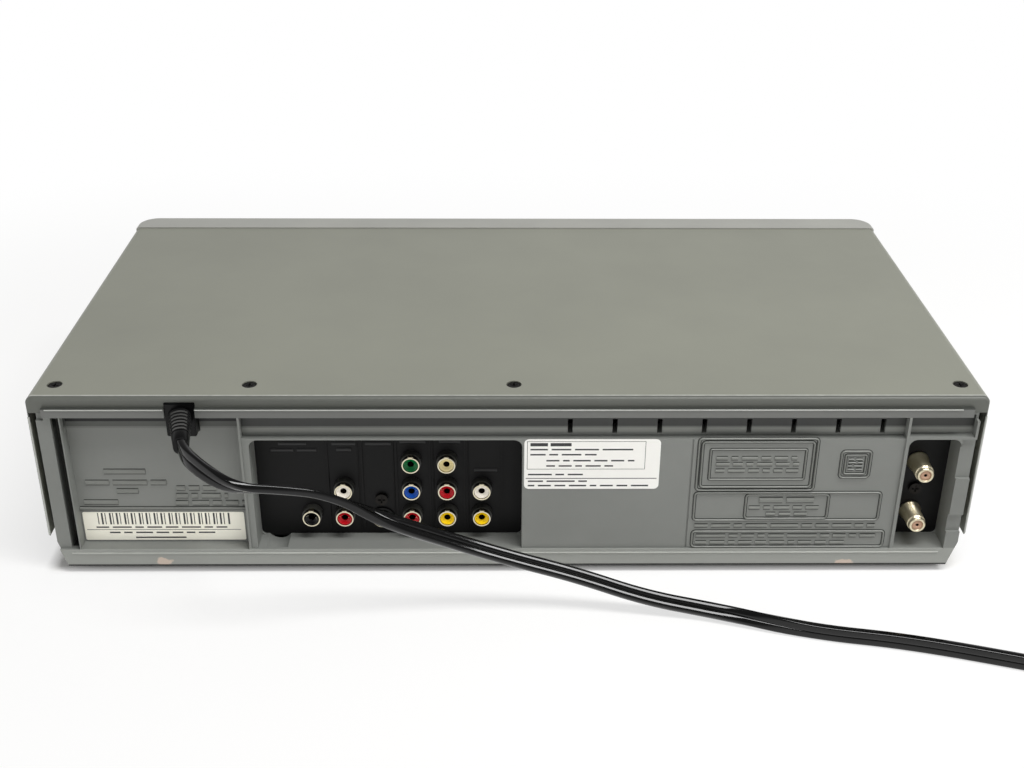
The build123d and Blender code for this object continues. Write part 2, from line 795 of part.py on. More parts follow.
def cord_tube():
    """The free stretch of the cord from the boot to the coil."""
    first, direction = coil_path()[0]
    ends = [boot_plane().offset(boot_length + step).origin for step in (-4.0, cord_lead_out)]
    route = ends + [Vector(*p) for p in cord_route] + [first - direction * cord_lead_in, first]
    radii = []
    for before, corner, after in zip(route, route[1:], route[2:]):
        into = corner - before
        out = after - corner
        turn = math.radians(into.get_angle(out))
        radii.append(0.45 * min(into.length, out.length) / math.tan(turn / 2))
    path = FilletPolyline(*route, radius=radii)
    tube = sweep(Plane(origin=path @ 0, z_dir=path % 0) * Circle(cord_width / 2), path=path)
    area = math.pi * cord_width**2 / 4
    print("cord radii", [round(radius, 1) for radius in radii])
    print(f"cord length {path.length:.1f}, volume ratio {tube.volume / path.length / area:.4f}")
    return tube


def mains_plug(end, direction):
    """A two-blade plug on the end of the coil, lying on its turns."""
    plane = Plane(origin=end, x_dir=Vector(0, 0, 1).cross(direction), z_dir=direction)
    grip = Box(plug_width, plug_height, plug_length)
    body = plane * Pos(0, 0, 8.0 + plug_length / 2) * fillet(grip.edges().filter_by(Axis.Z), 3.5)
    neck = loft([plane * Circle(cord_width / 2 + 0.8), plane.offset(8.5) * Circle(plug_height / 2 - 1.0)])
    body += neck
    thick, tall = blade_size
    for side in (-1, 1):
        offset = Pos(side * blade_pitch / 2, 0, 8.0 + plug_length + blade_length / 2 - 1.0)
        body += plane * offset * Box(thick, tall, blade_length + 2.0)
    return body


# Front panel


def front_panel():
    outer = block((-half_width, half_width), (y_panel, y_panel_rear), (z_base, overall_height))
    outer = fillet(edges_at(outer, Axis.Z, y=y_panel), panel_corner)
    rim = [e for e in outer.edges() if abs(e.center().Z - overall_height) < 0.01]
    outer = fillet([e for e in rim if e.center().Y < y_panel_rear - 0.01], 1.5)
    inside = half_width - panel_wall
    inner = block(
        (-inside, inside),
        (y_panel_in, y_panel_rear + 1),
        (z_base + panel_wall, overall_height - panel_wall),
    )
    inner = fillet(edges_at(inner, Axis.Z, y=y_panel_in), panel_corner - panel_wall)
    body = outer - inner
    # Tongue under the cover
    lap = half_width - cover_sheet - panel_joint
    top = z_cover - cover_sheet - panel_joint
    tongue = block((-lap, lap), (y_panel_rear - 3.0, y_panel_rear + 5.0), (z_skirt + 18.0, top))
    tongue = fillet([e for side in (-1, 1) for e in edges_at(tongue, Axis.Y, x=side * lap, z=top)], cover_bend)
    tongue -= block((-lap + 2.0, lap - 2.0), (y_panel_rear - 4.0, y_panel_rear + 6.0), (z_skirt, top - 2.0))
    body += tongue
    # Openings
    through = (y_panel - 1, y_panel_in + 1)
    cuts = [
        block(around(deck_x, cassette_width + 2 * slot_margin), through, slot_zone),
        block(
            around(loader_x, bezel_size[0] + 4 * running_gap),
            through,
            (bezel_bottom - 2 * running_gap, bezel_bottom + bezel_size[1] + 2 * running_gap),
        ),
        block(
            (window_zone[0] - 0.2, window_zone[1] + 0.2),
            through,
            (window_heights[0] - 0.2, window_heights[1] + 0.2),
        ),
    ]
    width = button_size[0] + 2 * button_gap
    height = button_size[1] + 2 * button_gap
    for x in button_xs.values():
        cuts.append(block(around(x, width), through, around(button_row, height)))
    cuts.append(rod_y(power_x, through, button_row, power_radius + button_gap))
    for x in front_jack_xs:
        cuts.append(rod_y(x, through, front_jack_z, sleeve_radius + running_gap))
    body -= cuts
    # Door bearings and posts for the control board
    for side in (-1, 1):
        edge = deck_x + side * (cassette_width / 2 + slot_margin)
        ear = block(
            sorted((edge, edge + side * 4.0)), (y_panel_in - 0.5, door_axis()[0] + 3.5), (76.0, slot_zone[1] + 2)
        )
        body += ear
        body -= rod_x((edge - 6, edge + 6), door_axis()[0], door_axis()[1], door_pin + bearing_gap)
    for x, z in control_posts:
        body += rod_y(x, (y_panel_in - 0.5, y_control), z, 3.0)
    return body


def door_axis():
    """y and z of the cassette door's hinge."""
    return y_panel + panel_wall + door_thick / 2, slot_zone[1] - door_pin - 1.0


def cassette_door():
    y_axis, z_axis = door_axis()
    half = cassette_width / 2 + slot_margin - running_gap
    wide = (deck_x - half, deck_x + half)
    leaf = block(wide, around(y_axis, door_thick), (slot_zone[0] + running_gap, z_axis))
    leaf += rod_x(wide, y_axis, z_axis, door_thick / 2 + 0.4)
    leaf += rod_x((wide[0] - 3.5, wide[1] + 3.5), y_axis, z_axis, door_pin)
    return leaf


def push_button(x):
    body = block(around(x, button_size[0]), (y_front, y_panel_in), around(button_row, button_size[1]))
    body = fillet(body.edges().filter_by(Axis.Y), 1.2)
    flange = block(
        around(x, button_size[0] + 3.0), (y_panel_in, y_panel_in + 1.0), around(button_row, button_size[1] + 3.0)
    )
    return body + flange + stem(x)


def stem(x):
    """The rod of a button, which stops just short of its switch at full travel."""
    y_end = y_control - switch_depth - button_travel - running_gap
    return rod_y(x, (y_panel_in + 0.5, y_end), button_row, 2.0)


def power_button():
    body = rod_y(power_x, (y_front, y_panel_in), button_row, power_radius)
    body += rod_y(power_x, (y_panel_in, y_panel_in + 1.0), button_row, power_radius + 1.5)
    return body + stem(power_x)


def display_window():
    pane = block(window_zone, (y_panel + 0.2, y_panel_in), window_heights)
    back = (y_panel_in, y_panel_in + 1.2)
    wide = (window_zone[0] - 2.0, window_zone[1] + 2.0)
    return pane + block(wide, back, (window_heights[0] - 2.0, window_heights[1] + 2.0))


def control_board():
    board = block((-x_control, x_control), (y_control, y_control + board_thick), control_zone)
    for x in list(button_xs.values()) + [power_x]:
        body = block(around(x, switch_size), (y_control - switch_depth, y_control), around(button_row, switch_size))
        board += body
    tube = (window_zone[0] + 8.0, window_zone[1] - 8.0)
    tall = (window_heights[0] + 2.0, window_heights[1] - 2.0)
    return board + block(tube, (y_panel_in + 2.0, y_control), tall)


# Boards inside


def main_board():
    zone = ((x_board, x_board + board_size[0]), (board_front, board_front + board_size[1]))
    body = block(*zone, (main_board_z, z_main))
    for x, y in loader_posts:
        body -= post(x, y, (main_board_z - 1, z_main + 1), post_radius + 1.0)
    for x, y, radius, height in ((70.0, 20.0, 8.0, 26.0), (100.0, 30.0, 9.0, 28.0), (60.0, -50.0, 6.0, 16.0)):
        body += post(x_board + x, y, (z_main - 0.2, z_main + height), radius)
    for x, y, wide, deep in ((90.0, -20.0, 26.0, 26.0), (130.0, -10.0, 20.0, 14.0), (60.0, 50.0, 22.0, 12.0)):
        body += block(around(x_board + x, wide), around(y, deep), (z_main - 0.2, z_main + 3.0))
    sink_x = x_board + 188.0
    fins = block(around(sink_x, 26.0), around(-20.0, 24.0), (z_main - 0.2, z_main + 30.0))
    for count in range(5):
        fins -= block(around(sink_x, 36.0), around(-28.0 + 4.0 * count, 2.4), (z_main + 2.0, z_main + 31.0))
    return body + fins


def mains_transformer():
    x = half_width - transformer_inset
    y = transformer_y
    wide, deep, tall = transformer_size
    core = block(around(x, wide), around(y, deep * 0.6), (z_main, z_main + tall))
    winding = block(around(x, wide - 6.0), around(y, deep), (z_main + 5.0, z_main + tall - 5.0))
    return core + fillet(winding.edges().filter_by(Axis.Z), 4.0)


def tuner_can():
    body = block(around(aerial_x + 1.0, tuner_width), (y_tuner, y_insert), tuner_zone)
    body = fillet(body.edges().filter_by(Axis.Z), 0.8)
    return body - rod_y(aerial_screw[0], (y_tuner + 2.0, y_insert + 1), aerial_screw[1], screw_radius + 0.1)


def jack_board():
    x = (jack_zone[0] + 2.0, jack_zone[1] - 4.0)
    board = block(x, (y_jack_board - board_thick, y_jack_board), (z_base + 8.0, z_face))
    return board + block(x, (y_jack_board - 7.0, y_jack_board - board_thick), (z_base + 8.0, z_base + 16.0))


# Tape deck


def deck_plate():
    body = block(around(deck_x, 2 * deck_half), (deck_front, deck_rear), (deck_z, z_deck))
    for side in (-1, 1):
        start = (deck_x + side * tape_guide_start[0], tape_guide_start[1])
        end = (deck_x + side * tape_guide_end[0], tape_guide_end[1])
        slot = SlotCenterToCenter(math.dist(start, end), tape_guide_slot)
        angle = math.degrees(math.atan2(end[1] - start[1], end[0] - start[0]))
        middle = ((start[0] + end[0]) / 2, (start[1] + end[1]) / 2)
        body -= extrude(Pos(*middle, deck_z - 1) * Rot(0, 0, angle) * slot, amount=deck_thick + 2)
    for x in reel_xs:
        body += post(x, reel_y, (deck_z, 44.0), spindle_radius)
    body += post(capstan_x, capstan_y, (deck_z, z_deck + 3.2), 4.2)
    body -= post(capstan_x, capstan_y, (deck_z - 1, z_deck + 5.0), capstan_radius + bearing_gap)
    body += post(pivot_x, pivot_y, (deck_z, 30.0), spindle_radius)
    body += post(cam_x, cam_y, (13.0, deck_z + 0.5), spindle_radius)
    body -= post(loading_x, loading_y, (deck_z - 1, z_deck + 1), 1.0 + running_gap)
    body += post(deck_x + 54.0, 44.0, (deck_z, 46.0), 5.5)
    return body + post(deck_x - 66.0, 44.0, (deck_z, 46.0), 6.0)


def carriage_frame():
    """Two side plates on the deck, joined at the front."""
    sides = []
    for side in (-1, 1):
        x = sorted((deck_x + side * (frame_half - frame_sheet), deck_x + side * frame_half))
        plate = block(x, (deck_front + 2, frame_rear), (z_deck, slot_zone[1] + 1.2))
        plate -= block((x[0] - 1, x[1] + 1), (-20.0, frame_rear - 14.0), (34.0, 74.0))
        sides.append(plate)
    foot = block(around(deck_x, 2 * frame_half), (deck_front + 2, deck_front + 8), (z_deck, z_deck + 1.2))
    return sides[0] + sides[1] + foot


def carriage_slider():
    """A bridge that runs on the side plates, with a guide pin at each end."""
    z = slot_zone[1] + 1.2
    y = (holder_front + 20.0, holder_front + 48.0)
    bridge = block(around(deck_x, 2 * frame_half), y, (z, z + 1.5))
    for side in (-1, 1):
        x = deck_x + side * (holder_half + guide_pin_setout)
        bridge += post(x, sum(y) / 2, (z - holder_drop - 7.0, z + 0.5), guide_pin_radius)
    return bridge


def cassette_holder():
    """An open box for the cassette, with an ear round each guide pin."""
    low, high = holder_zone
    s = holder_sheet
    y = (holder_front, holder_front + holder_depth)
    body = block(around(deck_x, 2 * (holder_half + s)), y, (low - s, high + s))
    body -= block(around(deck_x, 2 * holder_half), (y[0] - 1, y[1] + 1), (low, high))
    body -= block(around(deck_x, 2 * (holder_half - holder_flange)), (y[0] - 1, y[1] + 1), (low - 2 * s, low + 1))
    body -= block(around(deck_x, 90.0), (y[0] + 12.0, y[1] - 12.0), (high - 1, high + 2 * s))
    for side in (-1, 1):
        pin = deck_x + side * (holder_half + guide_pin_setout)
        edge = deck_x + side * (holder_half + s / 2)
        ear = block(sorted((edge, pin + side * 2.4)), around(holder_front + 34.0, 8.0), (high - 4.0, high + s))
        body += ear
        body -= post(pin, holder_front + 34.0, (high - 6.0, high + 3.0), guide_pin_radius + bearing_gap)
    return body


def reel(x):
    body = post(x, reel_y, (z_deck + 0.5, z_deck + 3.5), reel_radius)
    body += post(x, reel_y, (z_deck + 3.0, z_deck + 8.5), 11.0)
    body += post(x, reel_y, (z_deck + 8.0, z_deck + 22.0), 5.0)
    for turn in range(3):
        fin = Rot(0, 0, 120 * turn) * Pos(5.5, 0, 0) * Box(5.0, 1.6, 12.0)
        body += Pos(x, reel_y, z_deck + 14.5) * fin
    return body - post(x, reel_y, (z_deck, z_deck + 30.0), spindle_radius + bearing_gap)


def drum_frame():
    """The tilted frame of the head drum, with its origin on the deck."""
    return Pos(deck_x, drum_y, z_deck) * Rot(0, drum_tilt, 0)


def lower_drum():
    tall = drum_split + 12.0
    body = drum_frame() * Pos(0, 0, drum_split - tall / 2) * Cylinder(drum_radius, tall)
    under = block(around(deck_x, 200.0), around(drum_y, 200.0), (z_deck - 40.0, z_deck))
    shaft_top = drum_height - 2.0
    shaft = drum_frame() * Pos(0, 0, shaft_top / 2 + 2.0) * Cylinder(drum_shaft, shaft_top - 4.0)
    return body - under + shaft


def upper_drum():
    low = drum_split + running_gap
    body = Pos(0, 0, (low + drum_height) / 2) * Cylinder(drum_radius, drum_height - low)
    body += Pos(0, 0, drum_height + 1.5) * Cylinder(drum_radius * 0.6, 4.0)
    body -= Pos(0, 0, (low + drum_height) / 2 - 2.0) * Cylinder(drum_shaft + bearing_gap, drum_height - low)
    for turn in (0, 180):
        body -= Rot(0, 0, turn) * Pos(drum_radius, 0, low + 1.0) * Box(2.0, 5.0, 2.0)
    return drum_frame() * body


def capstan():
    body = post(capstan_x, capstan_y, (12.0, 50.0), capstan_radius)
    wheel = post(capstan_x, capstan_y, (13.0, 18.0), flywheel_radius)
    wheel += post(capstan_x, capstan_y, (17.0, deck_z - 0.5), 5.0)
    return body + wheel


def pinch_arm():
    heights = (z_deck + 1.0, z_deck + 3.5)
    length = pinch_arm_length
    bar = Pos(pivot_x, pivot_y, sum(heights) / 2) * Rot(0, 0, pinch_rest) * Pos(length / 2, 0, 0) * Box(length, 7.0, 2.5)
    bar += post(roller_x, roller_y, heights, 3.5)
    bar += post(roller_x, roller_y, (z_deck + 3.0, z_deck + 21.0), 1.2)
    bar += post(pivot_x, pivot_y, (z_deck + 0.5, z_deck + 6.0), 4.5)
    return bar - post(pivot_x, pivot_y, (z_deck, z_deck + 8.0), spindle_radius + bearing_gap)


def pinch_roller():
    body = post(roller_x, roller_y, (z_deck + 3.8, z_deck + 19.0), pinch_radius)
    return body - post(roller_x, roller_y, (z_deck, z_deck + 24.0), 1.2 + bearing_gap)


def tape_guide(side):
    x = deck_x + side * tape_guide_start[0]
    y = tape_guide_start[1]
    base = z_deck + running_gap
    body = block(around(x, tape_guide_block), around(y, tape_guide_block), (base, base + 4.0))
    body += post(x, y, (deck_z - 2.0, base + 1.0), tape_guide_slot / 2 - running_gap)
    body += post(x, y, (deck_z - 2.5, deck_z - 1.0), 3.6)
    return body + post(x, y, (base + 3.0, base + 24.0), 3.0)


def cam_gear():
    wheel = gear(cam_teeth, loading_module, 4.0, spindle_radius + bearing_gap)
    cam = Pos(0, 0, -0.8) * Cylinder(12.0, 2.0)
    cam -= Pos(0, 0, -0.8) * Cylinder(spindle_radius + bearing_gap, 4.0)
    return Pos(cam_x, cam_y, 15.0) * Rot(0, 0, loading_angle + 180) * (wheel + cam)


def loading_pinion():
    wheel = gear(loading_teeth, loading_module, 4.0, 0.9)
    wheel += Pos(0, 0, 4.2) * Cylinder(1.0, 8.4)
    turn = loading_angle + 180 / loading_teeth
    return Pos(loading_x, loading_y, 15.0) * Rot(0, 0, turn) * wheel


def loading_motor():
    can = post(loading_x, loading_y, (z_deck, z_deck + 22.0), 10.0)
    return can + post(loading_x, loading_y, (z_deck + 21.0, z_deck + 24.0), 4.0)


# Disc loader


def loader_frame():
    half = tray_width / 2 + 0.5
    outer = half + loader_wall
    y = (loader_front, loader_rear)
    body = block(around(loader_x, 2 * outer), y, (loader_z, loader_z + 2.0))
    hole = (traverse_front - 4.0, loader_rear - 6.0)
    body -= block(around(loader_x, 2 * traverse_half + 14.0), hole, (loader_z - 1, loader_z + 3))
    for side in (-1, 1):
        x = sorted((loader_x + side * half, loader_x + side * outer))
        body += block(x, y, (loader_z, bridge_z + 2.0))
        edge = sorted((loader_x + side * (half - 5.0), loader_x + side * half))
        body += block(edge, y, (tray_zone[0] - 2.2, tray_zone[0] - running_gap))
        body += block(edge, y, (tray_zone[1] + running_gap, tray_zone[1] + 2.0))
        ear_x = sorted((loader_x + side * (traverse_half + 1.0), loader_x + side * half))
        ear = block(ear_x, around(traverse_hinge_y, 9.0), (loader_z, traverse_z + 7.0))
        hinge_z = traverse_z + traverse_thick / 2
        ear -= rod_x((ear_x[0] - 1, ear_x[1] + 1), traverse_hinge_y, hinge_z, hinge_pin + bearing_gap)
        body += ear
    body += block(around(loader_x, 2 * outer), around(hub_y, 30.0), (bridge_z, bridge_z + 2.0))
    body -= post(loader_x, hub_y, (bridge_z - 1, bridge_z + 3), clamper_hole)
    # Pinion post, motor hole and stop for the traverse
    body += post(pinion_x, pinion_y, (loader_z, tray_zone[0] - 1.0), spindle_radius)
    body -= post(motor_x, motor_y, (loader_z - 1, loader_z + 3), 1.0 + running_gap)
    stop = (traverse_front - 12.0, traverse_front - 3.0)
    body += block(around(loader_x, 16.0), stop, (loader_z, traverse_z - running_gap))
    return body


def disc_tray():
    half = tray_width / 2
    low, high = tray_zone
    body = block(around(loader_x, tray_width), (tray_front_y, tray_rear), tray_zone)
    body -= post(loader_x, hub_y, (high - recess_depth, high + 1), disc_recess)
    body -= block(around(loader_x, 2 * tray_slot_half), (hub_y - 18.0, tray_rear + 1), (low - 1, high + 1))
    hollow = half - 24.0
    body -= block(around(loader_x, 2 * hollow), (tray_front_y + 3, hub_y - 62.0), (low - 1, low + 3))
    return body + tray_rack()


def tray_rack():
    """A rack under the tray, with its teeth towards the pinion."""
    pitch = math.pi * rack_module
    tan = math.tan(math.radians(20))
    tip = rack_line + 0.8 * rack_module
    root = rack_line - 1.1 * rack_module
    back = rack_line - rack_depth
    half_tip = pitch / 4 - tooth_slack / 2 - 0.8 * rack_module * tan
    half_root = pitch / 4 - tooth_slack / 2 + 1.1 * rack_module * tan
    front = pinion_y - 3.5 * pitch
    count = int((tray_rear - front) / pitch) - 1
    outline = [(back, front - pitch / 2)]
    for tooth in range(count):
        y = front + tooth * pitch
        outline += [(root, y - half_root), (tip, y - half_tip), (tip, y + half_tip), (root, y + half_root)]
    outline.append((back, front + (count - 0.5) * pitch))
    depth = tray_zone[0] - bezel_bottom
    return Pos(0, 0, bezel_bottom) * extrude(make_face(Polyline(*outline, close=True)), amount=depth)


def tray_front():
    y = (y_panel, y_mech + tray_front_y)
    z = (bezel_bottom, bezel_bottom + bezel_size[1])
    plate = block(around(loader_x, bezel_size[0]), y, z)
    return fillet(plate.edges().filter_by(Axis.Y), 1.5)


def tray_gear():
    """The pinion of the rack and the wheel under it, in one moulding."""
    bore = spindle_radius + bearing_gap
    pinion = Rot(0, 0, 180) * gear(pinion_teeth, rack_module, 3.2, bore)
    wheel = Rot(0, 0, motor_angle) * gear(wheel_teeth, wheel_module, 3.0, bore)
    neck = Pos(0, 0, -3.0) * Cylinder(6.0, 8.0) - Pos(0, 0, -3.0) * Cylinder(bore, 12.0)
    body = pinion + Pos(0, 0, -9.0) * wheel + neck
    return Pos(pinion_x, pinion_y, bezel_bottom + 0.3) * body


def motor_pinion():
    wheel = gear(motor_teeth, wheel_module, 3.0, 0.9)
    turn = motor_angle + 180 + 180 / motor_teeth
    z = bezel_bottom + 0.3 - 9.0
    shaft = post(motor_x, motor_y, (loader_z + running_gap, z + 3.0), 1.0)
    return Pos(motor_x, motor_y, z) * Rot(0, 0, turn) * wheel + shaft


def tray_motor():
    can = post(motor_x, motor_y, (loader_z - 18.0, loader_z), 10.0)
    return can


def traverse():
    """The tilting plate with the spindle motor, the rods of the sled and the hinge pins."""
    low, high = traverse_z, traverse_z + traverse_thick
    rear = traverse_hinge_y + 3.0
    body = block(around(loader_x, 2 * traverse_half), (traverse_front, rear), (low, high))
    body += block(around(loader_x, 14.0), (traverse_front - 10.0, traverse_front), (low, high))
    body -= block(around(loader_x, 2 * sled_half + 4.0), (sled_front - 1.5, 40.0), (low - 1, high + 1))
    body += post(loader_x, hub_y, (high - 0.5, turntable_z - 1.0), 13.5)
    body -= post(loader_x, hub_y, (low - 1, turntable_z), turntable_shaft + bearing_gap)
    hinge_z = (low + high) / 2
    body += rod_x(around(loader_x, 2 * tray_width / 2 - 4.0), traverse_hinge_y, hinge_z, hinge_pin)
    for side in (-1, 1):
        x = loader_x + side * rod_setout
        near = block(around(x, 6.0), (sled_front - 7.0, sled_front - 2.0), (low, high + rod_height + 2.5))
        near -= post(loader_x, hub_y, (low - 1, high + 20.0), 14.0)
        far = block(around(x, 6.0), (40.0, 45.0), (low, high + rod_height + 2.5))
        body += near + far + rod_y(x, (sled_front - 5.0, 43.0), high + rod_height, rod_radius)
    return body


def pickup_sled():
    """The lens block, which runs on the two rods."""
    low = traverse_z + 0.5
    rods = traverse_z + traverse_thick + rod_height
    y = (sled_front, sled_front + sled_length)
    body = block(around(loader_x, 2 * sled_half), y, (low, rods + 2.5))
    body += post(loader_x, sum(y) / 2 - 2.0, (rods + 2.0, rods + 4.0), 5.0)
    body += post(loader_x, sum(y) / 2 - 2.0, (rods + 3.0, rods + 4.6), 2.5)
    for side in (-1, 1):
        body -= rod_y(loader_x + side * rod_setout, (y[0] - 1, y[1] + 1), rods, rod_radius + bearing_gap)
    return body


def turntable():
    body = post(loader_x, hub_y, (turntable_z, turntable_z + 2.3), turntable_radius)
    cone = Pos(loader_x, hub_y, turntable_z + 3.3) * Cone(7.4, 5.5, 2.2)
    return body + cone + post(loader_x, hub_y, (traverse_z, turntable_z + 1.0), turntable_shaft)


def clamper():
    top = bridge_z + 2.0 + running_gap
    body = post(loader_x, hub_y, (bridge_z - 2.7, bridge_z - 0.7), clamper_radius)
    body += post(loader_x, hub_y, (bridge_z - 1.0, top + 0.5), clamper_hole - 0.5)
    return body + post(loader_x, hub_y, (top, top + 1.6), clamper_radius + 1.0)


def build():
    sleeves, rings, cores = phono_jacks()
    coil, coil_end, coil_direction = coil_tube()
    nodes = {
        "top_cover": top_cover(),
        "rear_panel": rear_panel(),
        "bottom_chassis": bottom_chassis(),
        "front_panel": front_panel(),
        "feet": feet(),
        "screws": screws(),
        "jack_inserts": jack_inserts(),
        "phono_sleeves": sleeves,
        "phono_rings": rings,
        "phono_cores": cores,
        "din_socket": din_socket(),
        "aerial_sockets": aerial_sockets(),
        "strain_relief": strain_relief(),
        "mains_cord": cord_tube(),
        "mains_coil": coil,
        "mains_plug": mains_plug(coil_end, coil_direction),
        "cassette_door": cassette_door(),
        "display_window": display_window(),
        "power_button": power_button(),
        "control_board": control_board(),
        "tuner_can": tuner_can(),
        "jack_board": jack_board(),
        "tray_front": tray_front(),
    }
    mechanisms = {
        "main_board": main_board(),
        "mains_transformer": mains_transformer(),
        "deck_plate": deck_plate(),
        "carriage_frame": carriage_frame(),
        "carriage_slider": carriage_slider(),
        "cassette_holder": cassette_holder(),
        "supply_reel": reel(reel_xs[0]),
        "takeup_reel": reel(reel_xs[1]),
        "lower_drum": lower_drum(),
        "upper_drum": upper_drum(),
        "capstan": capstan(),
        "pinch_arm": pinch_arm(),
        "pinch_roller": pinch_roller(),
        "supply_guide": tape_guide(-1),
        "takeup_guide": tape_guide(1),
        "cam_gear": cam_gear(),
        "loading_pinion": loading_pinion(),
        "loading_motor": loading_motor(),
        "loader_frame": loader_frame(),
        "disc_tray": disc_tray(),
        "tray_gear": tray_gear(),
        "motor_pinion": motor_pinion(),
        "tray_motor": tray_motor(),
        "traverse": traverse(),
        "pickup_sled": pickup_sled(),
        "turntable": turntable(),
        "clamper": clamper(),
    }
    for name, shape in mechanisms.items():
        nodes[name] = Pos(0, y_mech, 0) * shape
    for name, x in button_xs.items():
        nodes[name] = push_button(x)
    return nodes


os.makedirs("parts", exist_ok=True)
for name, shape in build().items():
    export_step(shape, f"parts/{name}.step")
    print(name, len(shape.solids()), round(shape.volume), shape.is_valid)
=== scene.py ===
# %% [markdown]
# A cassette and disc player, seen from behind.
# The CAD frame gives every rigid piece its true size and place. This lesson dresses it: the flat mains
# cord, the finishes, the moulded beads of the rear panel, its two paper labels and the insides of its jacks.
# Lengths are typed in millimetres, as in a drawing, and turned into metres where a mesh is made.

import json
import math

import bmesh
import bpy
from mathutils import Matrix, Vector


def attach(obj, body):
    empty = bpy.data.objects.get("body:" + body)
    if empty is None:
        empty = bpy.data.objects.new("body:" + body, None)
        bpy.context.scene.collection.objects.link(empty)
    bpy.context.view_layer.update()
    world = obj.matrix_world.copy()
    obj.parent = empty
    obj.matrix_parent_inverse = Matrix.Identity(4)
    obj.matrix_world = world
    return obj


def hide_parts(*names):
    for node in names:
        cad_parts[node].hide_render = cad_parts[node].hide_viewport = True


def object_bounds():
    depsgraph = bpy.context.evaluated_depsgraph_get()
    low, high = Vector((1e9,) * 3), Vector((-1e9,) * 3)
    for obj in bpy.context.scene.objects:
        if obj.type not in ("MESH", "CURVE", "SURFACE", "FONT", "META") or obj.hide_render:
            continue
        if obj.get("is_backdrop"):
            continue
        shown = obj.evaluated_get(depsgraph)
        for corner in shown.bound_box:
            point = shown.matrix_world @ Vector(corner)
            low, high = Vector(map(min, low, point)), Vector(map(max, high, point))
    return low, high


MM = 0.001
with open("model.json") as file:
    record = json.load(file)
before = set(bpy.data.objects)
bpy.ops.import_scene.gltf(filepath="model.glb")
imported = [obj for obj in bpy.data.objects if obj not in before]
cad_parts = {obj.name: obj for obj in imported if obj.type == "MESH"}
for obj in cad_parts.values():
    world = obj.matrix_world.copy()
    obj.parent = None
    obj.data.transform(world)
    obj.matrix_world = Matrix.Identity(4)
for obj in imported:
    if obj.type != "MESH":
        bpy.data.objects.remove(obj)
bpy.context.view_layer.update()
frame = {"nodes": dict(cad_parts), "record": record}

# %% [markdown]
# The camera comes first. Its place, tilt and lens were fitted to the corners of the cover and of the rear
# panel, so a piece that is put where the CAD has it also falls where the photograph has it.

# %% Camera
image_width = 1024
focal_px = 1341.7
camera_place = Vector((6.33, 645.73, 377.03)) * MM
camera_tilt = math.radians(27.47)
camera_turn = -0.0138
camera_roll = 0.0061

forward = Vector(
    (
        math.sin(camera_turn) * math.cos(camera_tilt),
        -math.cos(camera_turn) * math.cos(camera_tilt),
        -math.sin(camera_tilt),
    )
)
right = forward.cross(Vector((0, 0, 1))).normalized()
up = right.cross(forward)
rolled_right = math.cos(camera_roll) * right + math.sin(camera_roll) * up
rolled_up = math.cos(camera_roll) * up - math.sin(camera_roll) * right
axes = Matrix((rolled_right, rolled_up, -forward)).transposed().to_4x4()
lens = bpy.data.cameras.new("camera")
lens.sensor_width = 36.0
lens.lens = lens.sensor_width * focal_px / image_width
lens.clip_start = 0.01
camera = bpy.data.objects.new("camera", lens)
camera.matrix_world = Matrix.Translation(camera_place) @ axes
bpy.context.scene.collection.objects.link(camera)
bpy.context.scene.camera = camera
print("lens", round(lens.lens, 2), "mm")

# %% [markdown]
# Three small helpers serve the whole lesson. One turns a colour as a designer writes it, an sRGB hex value,
# into the linear value that a shader needs. One adds a node to a tree with its settings, and links each input
# that is given another node's output. The last puts an object into the scene.

# %% Colours and nodes


def paint(code):
    """An sRGB hex colour as linear red, green, blue and alpha."""
    values = [int(code[i : i + 2], 16) / 255 for i in (1, 3, 5)]
    return (*[v / 12.92 if v <= 0.04045 else ((v + 0.055) / 1.055) ** 2.4 for v in values], 1.0)


def add(tree, kind, inputs=None, **settings):
    """A node of that kind, with its settings and its inputs set or linked."""
    node = tree.nodes.new(kind)
    for name, value in settings.items():
        setattr(node, name, value)
    for name, value in (inputs or {}).items():
        if isinstance(value, bpy.types.NodeSocket):
            tree.links.new(value, node.inputs[name])
        else:
            node.inputs[name].default_value = value
    return node


def link_object(name, data):
    """A new object in the scene, at the origin."""
    obj = bpy.data.objects.new(name, data)
    bpy.context.scene.collection.objects.link(obj)
    return obj


print("middle grey is", [round(v, 3) for v in paint("#808080")])

# %% [markdown]
# The stage is a pale floor under one long soft box, overhead and to the right of the camera, as in a
# product studio. It gives the glossy cord its bright lines, and the ledge its shadow. The sky is white at the
# horizon and darker overhead, so black plastic has something dark to mirror. Away from the player the floor
# turns plain white for the camera, so that the background is white without more light on the player.

# %% Floor and light
floor_reach = 6.0
shaded_half = (0.216, 0.1105, 0.0)  # half sizes of the patch of floor that keeps its whole shadow
near_reach, near_share = 0.007, 0.68  # beside it the floor whitens fast
far_start, far_end, far_share = 0.03, 0.4, 0.32  # and then slowly up to plain white
horizon, zenith, zenith_strength = 0.16, 0.56, 0.2  # the sky dims between these two heights
floor_mesh = bpy.data.meshes.new("floor")
floor_mesh.from_pydata(
    [(x * floor_reach, y * floor_reach, 0.0) for x, y in ((-1, -1), (1, -1), (1, 1), (-1, 1))],
    [],
    [(0, 1, 2, 3)],
)
floor = link_object("floor", floor_mesh)
floor_paper = bpy.data.materials.new("floor_paper")
floor_paper.use_nodes = True
tree = floor_paper.node_tree
tree.nodes.clear()
place = add(tree, "ShaderNodeTexCoord")
sizes = add(tree, "ShaderNodeVectorMath", {0: place.outputs["Object"]}, operation="ABSOLUTE")
beyond = add(tree, "ShaderNodeVectorMath", {0: sizes.outputs[0], 1: shaded_half}, operation="SUBTRACT")
